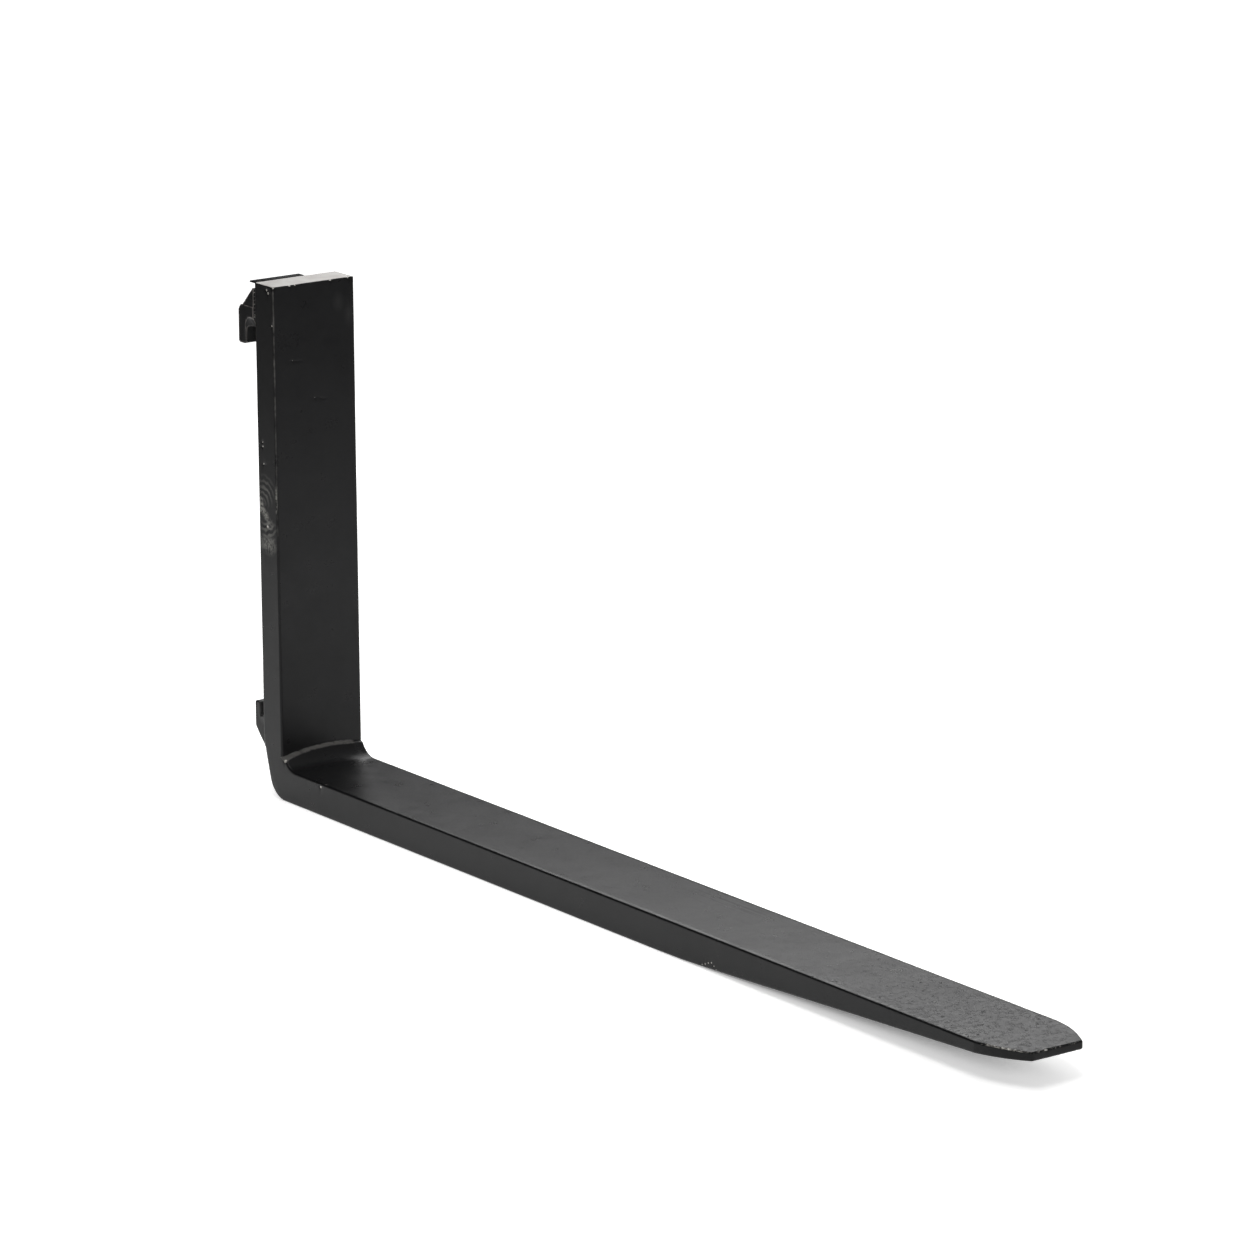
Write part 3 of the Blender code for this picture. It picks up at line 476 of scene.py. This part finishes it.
def copy_of(node):
    """Copy a solid's mesh, join its loose triangles and merge the flat ones."""
    shape = bmesh.new()
    shape.from_mesh(frame["nodes"][node].data)
    bmesh.ops.remove_doubles(shape, verts=shape.verts, dist=0.01 * MM)
    bmesh.ops.dissolve_limit(shape, angle_limit=math.radians(0.3), verts=shape.verts, edges=shape.edges)
    return shape


def is_outward(edge, least_turn):
    return edge.is_manifold and edge.calc_face_angle_signed() > least_turn


def round_edges(shape, width, least_turn=SHARP_TURN, segments=2):
    """Round the outward edges that turn by more than an angle."""
    edges = [edge for edge in shape.edges if is_outward(edge, least_turn)]
    bmesh.ops.bevel(shape, geom=edges, offset=width, segments=segments, profile=0.5, affect="EDGES",
                    clamp_overlap=True, material=-1)


def everything(shape):
    return shape.verts[:] + shape.edges[:] + shape.faces[:]


def faces_in(shape, low, high, keep=lambda face: True):
    """Gather the faces whose middle lies in a box, with their edges and points."""
    faces = []
    for face in shape.faces:
        middle = face.calc_center_median()
        if keep(face) and all(low[axis] <= middle[axis] <= high[axis] for axis in range(3)):
            faces.append(face)
    edges = dict.fromkeys(edge for face in faces for edge in face.edges)
    points = dict.fromkeys(vert for face in faces for vert in face.verts)
    return [*points, *edges, *faces]


def points_of(region):
    return [part for part in region if isinstance(part, bmesh.types.BMVert)]


def cut_across(shape, region, axis, places):
    """Cut a region of a shape by planes across an axis and give the region back with its cuts."""
    across = Vector([float(axis == other) for other in range(3)])
    for place in places:
        region = bmesh.ops.bisect_plane(shape, geom=region, plane_co=across * place, plane_no=across,
                                        dist=0.02 * MM)["geom"]
    return region


def even_steps(low, high, spacing):
    """Spread places between two ends, which are left out."""
    count = max(1, round((high - low) / spacing))
    return [low + (high - low) * step / count for step in range(1, count)]


def cut_grid(shape, region, spacing):
    """Cut a region's faces by evenly spaced planes across each axis, the longest axis first."""
    corners = [vert.co for vert in points_of(region)]
    low = [min(corner[axis] for corner in corners) for axis in range(3)]
    high = [max(corner[axis] for corner in corners) for axis in range(3)]
    for axis in sorted(range(3), key=lambda axis: low[axis] - high[axis]):
        region = cut_across(shape, region, axis, even_steps(low[axis], high[axis], spacing))


def clamp(share):
    return max(0, min(1, share))


def smooth_step(share):
    share = clamp(share)
    return share * share * (3 - 2 * share)


def mark_edges(shape, reach, share=lambda place: 1):
    """Keep in an attribute how near each point is to an outward edge, and how much rubbing and painted
    highlight it gets.
    """
    places = []
    for edge in shape.edges:
        if is_outward(edge, WORN_TURN):
            first, last = [vert.co for vert in edge.verts]
            steps = max(1, round((last - first).length / (reach / 2)))
            places += [first.lerp(last, step / steps) for step in range(steps + 1)]
    tree = KDTree(len(places))
    for index, place in enumerate(places):
        tree.insert(place, index)
    tree.balance()
    layer = shape.verts.layers.float.new("edge_wear_and_highlight")
    for vert in shape.verts:
        vert[layer] = share(vert.co) * smooth_step(1 - tree.find(vert.co)[2] / reach)


def fill_heel(shape, sizes):
    """Make the outer heel fuller than the solid's: a straighter lean and a tighter corner under it."""
    lean = sizes.heel_lean
    middles = []
    for radius, height in ((sizes.heel_radius_solid, sizes.heel_lean_solid),
                           (sizes.heel_radius, sizes.heel_lean_height)):
        run = (radius + (height - radius) * math.sin(lean)) / math.cos(lean)
        middles.append(Vector((0, SHANK_BACK_Y - run, BAR_LOW.z + radius)))
    solid, filled = middles
    inner = sizes.heel_radius_solid / 3
    for vert in shape.verts:
        out = vert.co - solid
        out.x = 0
        turn = math.atan2(-out.z, out.y)
        if out.length > inner and lean <= turn <= math.pi / 2:
            depth = sizes.heel_radius_solid - out.length
            target = filled + out.normalized() * (sizes.heel_radius - depth)
            target.x = vert.co.x
            weight = smooth_step((out.length - inner) / (sizes.heel_radius_solid - inner))
            vert.co = vert.co.lerp(target, weight)
        elif out.y > 0 and turn < lean and vert.co.z < sizes.heel_lean_solid:
            lag = (sizes.heel_lean_solid - vert.co.z) * math.tan(lean)
            new_lag = max(0, (sizes.heel_lean_height - vert.co.z) * math.tan(lean))
            depth = SHANK_BACK_Y - lag - vert.co.y
            vert.co.y += (lag - new_lag) * smooth_step(1 - depth / (BLADE_TOP_Z - BAR_LOW.z))


def raise_ledge(shape, sizes):
    """Grind the shank's front flat down to the inner heel and leave the fillet's upper end as a ledge."""
    def ledge_z(x):
        return sizes.ledge_height - sizes.ledge_drop * ((x - sizes.ledge_middle) / BAR_HIGH.x) ** 2

    radius = sizes.heel_fillet
    band_cuts, tail_cuts = 6, 8
    low = (BAR_LOW.x, SHANK_FRONT_Y - radius, BLADE_TOP_Z)
    high = (BAR_HIGH.x, SHANK_FRONT_Y + 2 * MM, BLADE_TOP_Z + 1.4 * radius)
    region = faces_in(shape, low, high, lambda face: abs(face.normal.x) < 0.99)
    region = cut_across(shape, region, 0, even_steps(low[0], high[0], sizes.ledge_grid))
    # The cuts that follow the ledge are flat while its height is taken off every point
    for vert in shape.verts:
        vert.co.z -= ledge_z(vert.co.x)
    levels = [sizes.ledge_highlight_band * step / band_cuts for step in range(-band_cuts, band_cuts + 1)]
    levels += [-sizes.ledge_highlight_band - sizes.ledge_tail * (step / tail_cuts) ** 1.5
               for step in range(1, tail_cuts + 1)]
    points = points_of(cut_across(shape, region, 2, levels))
    heights = [vert.co.z for vert in points]
    for vert in shape.verts:
        vert.co.z += ledge_z(vert.co.x)
    wear = shape.verts.layers.float["edge_wear_and_highlight"]
    for vert, height in zip(points, heights):
        sunk = max(0, min(radius, BLADE_TOP_Z + radius - vert.co.z))
        hollow = radius - math.sqrt(radius ** 2 - sunk ** 2)
        fade = smooth_step((sizes.ledge_end - vert.co.x) / sizes.ledge_fade + 1)
        above = clamp(height / sizes.ledge_step + 0.5)
        tail = smooth_step(height / sizes.ledge_tail + 1)
        vert.co.y += above * hollow - fade * (1 - above) * tail * sizes.ledge_proud
        # Tint a band along the ledge's edge like a rubbed edge: a painted highlight
        vert[wear] = max(vert[wear], fade * smooth_step(1 - abs(height) / sizes.ledge_highlight_band))


def ease_rims(shape, sizes):
    """Let the blade's top edges fall off towards the sides, more and more towards the tip, as wear does."""
    for vert in shape.verts:
        inset = BAR_HIGH.x - abs(vert.co.x)
        over = (sizes.rim_start - inset) / (sizes.rim_start - sizes.rim_end)
        if over > 0 and BLADE_TOP_Z - sizes.edge_band < vert.co.z < BLADE_TOP_Z + NEAR:
            along = smooth_step((SHANK_FRONT_Y - sizes.rim_from - vert.co.y) / sizes.rim_growth)
            vert.co.z -= sizes.rim_drop * along * min(1, over)


def knock(shape, layer, place, radius, bare):
    """Dent a shape round a place and keep in an attribute how bare each point was knocked."""
    reach = Vector((radius, radius, radius))
    region = faces_in(shape, place - 3 * reach, place + 3 * reach)
    for axis in range(3):
        steps = even_steps(place[axis] - radius, place[axis] + radius, radius / 3)
        region = cut_across(shape, region, axis, steps)
    shape.normal_update()
    for vert in dict.fromkeys(points_of(region)):
        hit = smooth_step(1 - (vert.co - place).length / radius)
        vert[layer] = max(vert[layer], hit * bare)
        vert.co -= vert.normal * KNOCK_DEPTH * radius * hit


def waver(shape, wave, depth, seed, share=lambda place: 1):
    """Push each point in or out of its face by a smooth noise."""
    shape.normal_update()
    shift = Vector((seed, 2 * seed, 3 * seed))
    moves = [(vert, vert.normal * depth / 2 * share(vert.co) * noise.noise(vert.co / wave + shift))
             for vert in shape.verts]
    for vert, move in moves:
        vert.co += move


def add_piece(name, shape, materials, body, node):
    """Turn a bmesh into a piece that stands for a node of the frame and rides on its body."""
    for edge in shape.edges:
        edge.smooth = edge.smooth and edge.calc_face_angle(0) < SHARP_TURN
    mesh = bpy.data.meshes.new(name)
    shape.to_mesh(mesh)
    shape.free()
    mesh.shade_smooth()
    for material in materials:
        mesh.materials.append(material)
    piece = bpy.data.objects.new(name, mesh)
    bpy.context.scene.collection.objects.link(piece)
    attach(piece, body)
    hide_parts(node)
    return piece


class FORKARM_OT_forged_bar(Operator):
    """Dress the bar of blade and shank: uneven faces, knocked edges and a bare sawn top"""

    bl_idname = "forkarm.forged_bar"
    bl_label = "Forged bar"

    def execute(self, context):
        sizes = context.scene.fork_arm_sizes
        colours = context.scene.fork_arm_colours
        shape = copy_of("fork_arm")
        band = sizes.edge_band
        rim = sizes.rim_start

        def scaled_share(place):
            return clamp((BAR_LOW.y + sizes.scaled_length - place.y) / sizes.scaled_fade)

        # How much the shank's upper edges are rubbed and lightened as a painted highlight
        def rub_and_painted_highlight_share(place):
            below_top = smooth_step((BAR_HIGH.z - place.z) / band)
            rise = (place.z - sizes.rub_and_painted_highlight_from) / (sizes.rub_and_painted_highlight_full - sizes.rub_and_painted_highlight_from)
            inset = BAR_HIGH.x - abs(place.x)
            corner = min(place.y - SHANK_FRONT_Y, SHANK_BACK_Y - place.y)
            thin = smooth_step((sizes.rub_and_painted_highlight_reach - math.hypot(inset, corner)) / sizes.rub_and_painted_highlight_fade)
            return sizes.rub_and_painted_highlight_share * below_top * thin * smooth_step(rise)

        for axis, places in ((0, [BAR_LOW.x + band, BAR_HIGH.x - band]),
                             (0, [BAR_LOW.x + rim, BAR_HIGH.x - rim]),
                             (1, [SHANK_FRONT_Y + band, SHANK_BACK_Y - band]),
                             (2, [BLADE_TOP_Z - band])):
            cut_across(shape, everything(shape), axis, places)
        cut_grid(shape, everything(shape), sizes.bar_grid)
        scaled = faces_in(shape, (BAR_LOW.x, BAR_LOW.y, BLADE_TOP_Z - band),
                          (BAR_HIGH.x, BAR_LOW.y + sizes.scaled_length, BLADE_TOP_Z))
        cut_grid(shape, scaled, sizes.tip_grid)
        mark_edges(shape, band, rub_and_painted_highlight_share)
        fill_heel(shape, sizes)
        ease_rims(shape, sizes)
        raise_ledge(shape, sizes)
        self.chip_tip(shape, sizes)
        self.crease_corners(shape, sizes)
        for face in shape.faces:
            face.material_index = int(face.calc_center_median().z > BAR_HIGH.z - NEAR)
        waver(shape, sizes.forging_wave, sizes.forging_depth, 1)
        waver(shape, sizes.scale_wave, sizes.scale_depth, 2)
        waver(shape, sizes.scale_wave / 2, sizes.scale_depth, 3, scaled_share)
        add_piece("forged_bar", shape, [bar_paint(sizes, colours), sawn_steel(colours)], "fork", "fork_arm")
        return {"FINISHED"}

    def chip_tip(self, shape, sizes):
        """Knock the paint off the edges of the tip, more towards its end, and off a few other places."""
        layer = shape.verts.layers.float.new("knock")
        band = sizes.edge_band
        for edge in shape.edges:
            if is_outward(edge, WORN_TURN):
                for vert in edge.verts:
                    near_end = (BAR_LOW.y + sizes.chipped_length - vert.co.y) / sizes.chipped_fade
                    if vert.co.z > BLADE_TOP_Z - band and near_end > 0:
                        at_end = vert.co.y < BAR_LOW.y + band
                        bare = sizes.chipped_end if at_end else sizes.chipped_corner
                        vert[layer] = bare * min(1, near_end)
        for x, y, z, radius, bare in KNOCKS:
            knock(shape, layer, Vector((x, y, z)) * MM, radius * MM, bare)

    def crease_corners(self, shape, sizes):
        """Keep the upright edges sharp where the tip's corners begin to be cut back."""
        for edge in shape.edges:
            at_crease = [abs(vert.co.y - BAR_LOW.y - sizes.corner_length) < 2 * NEAR for vert in edge.verts]
            on_side = [abs(vert.co.x) > BAR_HIGH.x - 5 * NEAR for vert in edge.verts]
            edge.smooth = not all(at_crease + on_side)


class FORKARM_OT_hooks(Operator):
    """Dress the upper and the lower hook: uneven forged faces, and edges rubbed grey with a painted highlight
    """

    bl_idname = "forkarm.hooks"
    bl_label = "Hooks"

    def execute(self, context):
        sizes = context.scene.fork_arm_sizes
        colours = context.scene.fork_arm_colours
        # The notches get a paler colour as painted light
        paint = painted_steel("satin_black_paint_on_hooks", colours, colours.rubbed_hook_and_highlight, dusty=NOTCH_PAINTED_LIGHT)
        wear = {"upper_hook": sizes.upper_hook_rub_and_highlight, "lower_hook": sizes.lower_hook_rub_and_highlight}
        for seed, (node, worn) in enumerate(wear.items()):
            shape = copy_of(node)
            round_edges(shape, sizes.hook_edge, sizes.hook_turn, 3)
            if node == "upper_hook":
                self.raise_shoulder(shape, sizes)
            cut_grid(shape, everything(shape), sizes.hook_grid)
            low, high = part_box(node)
            for side in (-1, 1):
                side_faces = faces_in(shape, low, high, lambda face: face.normal.x * side > 0.3)
                cut_grid(shape, side_faces, sizes.hook_side_grid)
            # Tint the hooks' edges grey: rubbed paint and a painted highlight
            mark_edges(shape, sizes.hook_rub_and_highlight_band, lambda place: worn)
            waver(shape, sizes.scale_wave, sizes.scale_depth, seed)
            add_piece(node + "_forging", shape, [paint], "fork", node)
        return {"FINISHED"}

    def raise_shoulder(self, shape, sizes):
        """Give the crown a shoulder: a shelf below it that stands out, also a little at the sides."""
        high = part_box("upper_hook")[1]
        top = sizes.shoulder_height
        edge = top - sizes.shoulder_shelf
        foot = edge - 2 * sizes.shoulder_shelf
        step = sizes.shoulder_step
        cut_across(shape, everything(shape), 2, [foot, edge, top - step, top])
        shape.normal_update()
        for vert in shape.verts:
            if vert.normal.y > 0.3 and vert.normal.z > 0.3:
                if vert.co.z > top - NEAR:
                    vert.co.y -= sizes.shoulder_back * (high.z - vert.co.z) / (high.z - top)
                else:
                    vert.co.y += sizes.shoulder_out * clamp((vert.co.z - foot) / (edge - foot))
            if abs(vert.co.x) > high.x - NEAR and vert.co.z < top - step / 2:
                vert.co.x += math.copysign(sizes.shoulder_proud, vert.co.x)


class FORKARM_OT_weld_seams(Operator):
    """Dress the seams that join the hooks to the shank, with painted glints of bare steel colour on their
    ripples
    """

    bl_idname = "forkarm.weld_seams"
    bl_label = "Weld seams"

    def execute(self, context):
        sizes = context.scene.fork_arm_sizes
        colours = context.scene.fork_arm_colours
        paint = painted_steel("satin_black_paint_on_welds", colours, colours.bare_steel)
        for node in WELDS:
            shape = copy_of(node)
            # Lighten the ripple tops with bare steel colour: a painted glint
            mark_edges(shape, sizes.weld_painted_glint_band, lambda place: sizes.weld_painted_glint)
            add_piece(node + "_bead", shape, [paint], "fork", node)
        return {"FINISHED"}


class FORKARM_OT_lock_pin(Operator):
    """Dress the locking pin and the split pin in the lever"""

    bl_idname = "forkarm.lock_pin"
    bl_label = "Locking pin"

    def execute(self, context):
        sizes = context.scene.fork_arm_sizes
        steel = turned_steel(context.scene.fork_arm_colours)
        for node, body in (("lock_pin", "pin"), ("lever_roll_pin", "lever")):
            shape = copy_of(node)
            round_edges(shape, sizes.pin_edge)
            add_piece(node + "_turned", shape, [steel], body, node)
        return {"FINISHED"}


class FORKARM_OT_lock_lever(Operator):
    """Dress the folded lever of the lock"""

    bl_idname = "forkarm.lock_lever"
    bl_label = "Lock lever"

    def execute(self, context):
        sizes = context.scene.fork_arm_sizes
        colours = context.scene.fork_arm_colours
        paint = painted_steel("matt_black_paint_on_sheet", colours, colours.paint_faded, 0.6, gloss=0.15)
        shape = copy_of("lock_lever")
        round_edges(shape, sizes.sheet_edge)
        add_piece("folded_lever", shape, [paint], "lever", "lock_lever")
        return {"FINISHED"}


class FORKARM_OT_lock_spring(Operator):
    """Wind the spring of the lock, with a closed turn at each end"""

    bl_idname = "forkarm.lock_spring"
    bl_label = "Lock spring"

    def execute(self, context):
        sizes = context.scene.fork_arm_sizes
        wire = sizes.spring_wire
        centre = (SPRING_LOW + SPRING_HIGH) / 2
        radius = (SPRING_HIGH.x - SPRING_LOW.x) / 2 - wire / 2
        rise = SPRING_HIGH.z - SPRING_LOW.z - wire
        steps_per_turn = 32
        closed_rise = wire * 1.02
        open_rise = (rise - 2 * closed_rise) / sizes.spring_turns
        shape = bmesh.new()
        ring = bmesh.ops.create_circle(shape, cap_ends=True, segments=sizes.spring_sides, radius=wire / 2)
        place = Matrix.Translation((centre.x + radius, centre.y, SPRING_LOW.z + wire / 2))
        bmesh.ops.transform(shape, verts=ring["verts"], matrix=place @ Matrix.Rotation(math.pi / 2, 4, "X"))
        end = everything(shape)
        for turns, turn_rise in ((1, closed_rise), (sizes.spring_turns, open_rise), (1, closed_rise)):
            wound = bmesh.ops.spin(shape, geom=end, cent=(centre.x, centre.y, 0), axis=(0, 0, 1),
                                   dvec=(0, 0, turn_rise / steps_per_turn), angle=turns * math.tau,
                                   steps=round(turns * steps_per_turn))
            end = wound["geom_last"]
        bmesh.ops.remove_doubles(shape, verts=shape.verts, dist=0.001 * MM)
        bmesh.ops.recalc_face_normals(shape, faces=shape.faces)
        spring = add_piece("wound_spring", shape, [drawn_wire(context.scene.fork_arm_colours)], "fork",
                           "lock_spring")
        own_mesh(spring)
        return {"FINISHED"}


class FORKARM_OT_stage(Operator):
    """Set up the pale floor, the two lights, the room's light and the camera"""

    bl_idname = "forkarm.stage"
    bl_label = "Studio stage"

    def execute(self, context):
        scene = context.scene
        stage = scene.fork_arm_stage
        self.lay_floor(scene, stage, scene.fork_arm_colours)
        self.hang_lights(scene, stage)
        self.light_room(scene, stage)
        self.place_camera(scene, stage)
        scene.view_settings.view_transform = "Standard"
        return {"FINISHED"}

    def lay_floor(self, scene, stage, colours):
        """Lay a matt floor that the part stands on, lit from below along the line of sight."""
        made = Tree("opal_acrylic_table")
        add = made.add
        turned = add("Mapping", {"Vector": made.place, "Location": (-stage.aim[0], -stage.aim[1], 0)})
        turned = add("Mapping", {"Vector": turned, "Location": (stage.table_shift, 0, 0),
                                 "Rotation": (0, 0, -stage.azimuth)})
        seen = add("SeparateXYZ", {"Vector": turned})
        across, along = seen.outputs["X"], seen.outputs["Y"]
        off = add("Math", {0: across}, operation="ABSOLUTE")
        off = add("Math", {0: along, 1: -stage.table_spread, 2: off}, operation="MULTIPLY_ADD")
        half = stage.table_width / 2
        glow, behind, near, right, beside, ahead = [
            add("MapRange", {"Value": value, "From Min": start, "From Max": full, "To Min": low,
                             "To Max": high}, interpolation_type="SMOOTHSTEP")
            for value, start, full, low, high in (
                (off, half, half + stage.table_fade, 1, 0),
                (along, stage.back_start, stage.back_full, 0, stage.back_glow),
                (along, -stage.near_start, -stage.near_full, stage.table_glow, stage.near_glow),
                (across, stage.side_start, stage.side_full, 0, 1),
                (along, -stage.side_front, stage.side_fade - stage.side_front, 0, stage.side_glow),
                (along, -stage.front_start, -stage.front_full, 0, stage.side_glow))]
        beside = add("Math", {0: right, 1: beside}, operation="MULTIPLY")
        level = near
        for brighter in (behind, beside, ahead):
            level = add("Math", {0: level, 1: brighter}, operation="MAXIMUM")
        # Dim the glow where the part hides the open sky: a painted shadow in the floor's light
        open_sky = add("AmbientOcclusion", {"Distance": stage.shade_reach}, samples=16)
        open_sky = add("MapRange", {"Value": open_sky.outputs["AO"], "From Max": stage.shade_share})
        for share in (level, open_sky):
            glow = add("Math", {0: glow, 1: share}, operation="MULTIPLY")
        made.feed(made.shader, {"Base Color": (*colours.floor, 1), "Roughness": 0.85,
                                "Specular IOR Level": 0.1, "Emission Color": (1, 1, 1, 1),
                                "Emission Strength": glow})
        shape = bmesh.new()
        bmesh.ops.create_grid(shape, x_segments=8, y_segments=8, size=stage.floor_size / 2)
        mesh = bpy.data.meshes.new("floor")
        shape.to_mesh(mesh)
        shape.free()
        mesh.materials.append(made.owner)
        floor = bpy.data.objects.new("floor", mesh)
        floor.location.z = BAR_LOW.z
        scene.collection.objects.link(floor)

    def hang_lights(self, scene, stage):
        """Hang a softbox over the part and stand a light panel far behind it, over the camera's view."""
        sight = Matrix.Translation((stage.aim[0], stage.aim[1], 0)) @ Matrix.Rotation(stage.azimuth, 4, "Z")
        over = sight @ Matrix.Translation((stage.softbox_shift, -stage.softbox_front, stage.softbox_height))
        panel_middle = stage.panel_foot + stage.panel_height / 2
        behind = (sight @ Matrix.Translation((stage.panel_shift, stage.panel_distance, panel_middle))
                  @ Matrix.Rotation(-math.pi / 2, 4, "X"))
        for name, place, width, height, spread, power in (
                ("softbox", over, stage.softbox_width, stage.softbox_length, stage.softbox_spread,
                 stage.softbox_power),
                ("panel", behind, stage.panel_width, stage.panel_height, math.pi, stage.panel_power)):
            light = bpy.data.lights.new(name, "AREA")
            light.shape = "RECTANGLE"
            light.size = width
            light.size_y = height
            light.spread = spread
            light.energy = power
            lamp = bpy.data.objects.new(name, light)
            lamp.matrix_world = place
            lamp.visible_camera = False
            scene.collection.objects.link(lamp)

    def light_room(self, scene, stage):
        """Fill the room with dim light that grows towards its bright side."""
        made = Tree("room", "worlds", "Background", "Generated")
        facing = made.add("VectorMath", {0: made.place, 1: Vector(stage.bright_from).normalized()},
                          operation="DOT_PRODUCT")
        level = made.add("MapRange", {"Value": facing.outputs["Value"], "From Min": stage.bright_start,
                                      "From Max": stage.bright_full, "To Min": stage.surround,
                                      "To Max": stage.bright_side})
        made.feed(made.shader, {"Color": (1, 1, 1, 1), "Strength": level})
        scene.world = made.owner

    def place_camera(self, scene, stage):
        """Look at the part from the front left, a little from above."""
        data = bpy.data.cameras.new("camera")
        data.lens = stage.focal_length
        data.clip_end = 100
        camera = bpy.data.objects.new("camera", data)
        turn = (Matrix.Rotation(stage.azimuth, 4, "Z")
                @ Matrix.Rotation(math.pi / 2 - stage.elevation, 4, "X")
                @ Matrix.Rotation(stage.roll, 4, "Z"))
        camera.matrix_world = (Matrix.Translation(stage.aim) @ turn
                               @ Matrix.Translation((0, 0, stage.distance)))
        scene.collection.objects.link(camera)
        scene.camera = camera


OPERATORS = [FORKARM_OT_forged_bar, FORKARM_OT_hooks, FORKARM_OT_weld_seams, FORKARM_OT_lock_pin,
             FORKARM_OT_lock_lever, FORKARM_OT_lock_spring, FORKARM_OT_stage]


class FORKARM_PT_sidebar(Panel):
    """Lists the pieces of the fork arm with their sizes and colours"""

    bl_idname = "FORKARM_PT_sidebar"
    bl_label = "Fork arm"
    bl_space_type = "VIEW_3D"
    bl_region_type = "UI"
    bl_category = "Fork arm"

    def draw(self, context):
        for group in GROUPS:
            settings = getattr(context.scene, group)
            box = self.layout.box()
            for name in settings.bl_rna.properties.keys():
                if name not in ("rna_type", "name"):
                    box.prop(settings, name)
        for operator in OPERATORS:
            self.layout.operator(operator.bl_idname)


GROUPS = {"fork_arm_sizes": ForkArmSizes, "fork_arm_colours": ForkArmColours,
          "fork_arm_stage": ForkArmStage}
CLASSES = [*GROUPS.values(), *OPERATORS, FORKARM_PT_sidebar]


def register():
    for cls in CLASSES:
        bpy.utils.register_class(cls)
    for name, group in GROUPS.items():
        setattr(bpy.types.Scene, name, PointerProperty(type=group))


def unregister():
    for name in GROUPS:
        delattr(bpy.types.Scene, name)
    for cls in reversed(CLASSES):
        bpy.utils.unregister_class(cls)


def main():
    register()
    bpy.ops.forkarm.forged_bar()
    bpy.ops.forkarm.hooks()
    bpy.ops.forkarm.weld_seams()
    bpy.ops.forkarm.lock_pin()
    bpy.ops.forkarm.lock_lever()
    bpy.ops.forkarm.lock_spring()
    bpy.ops.forkarm.stage()


if __name__ == "__main__":
    main()
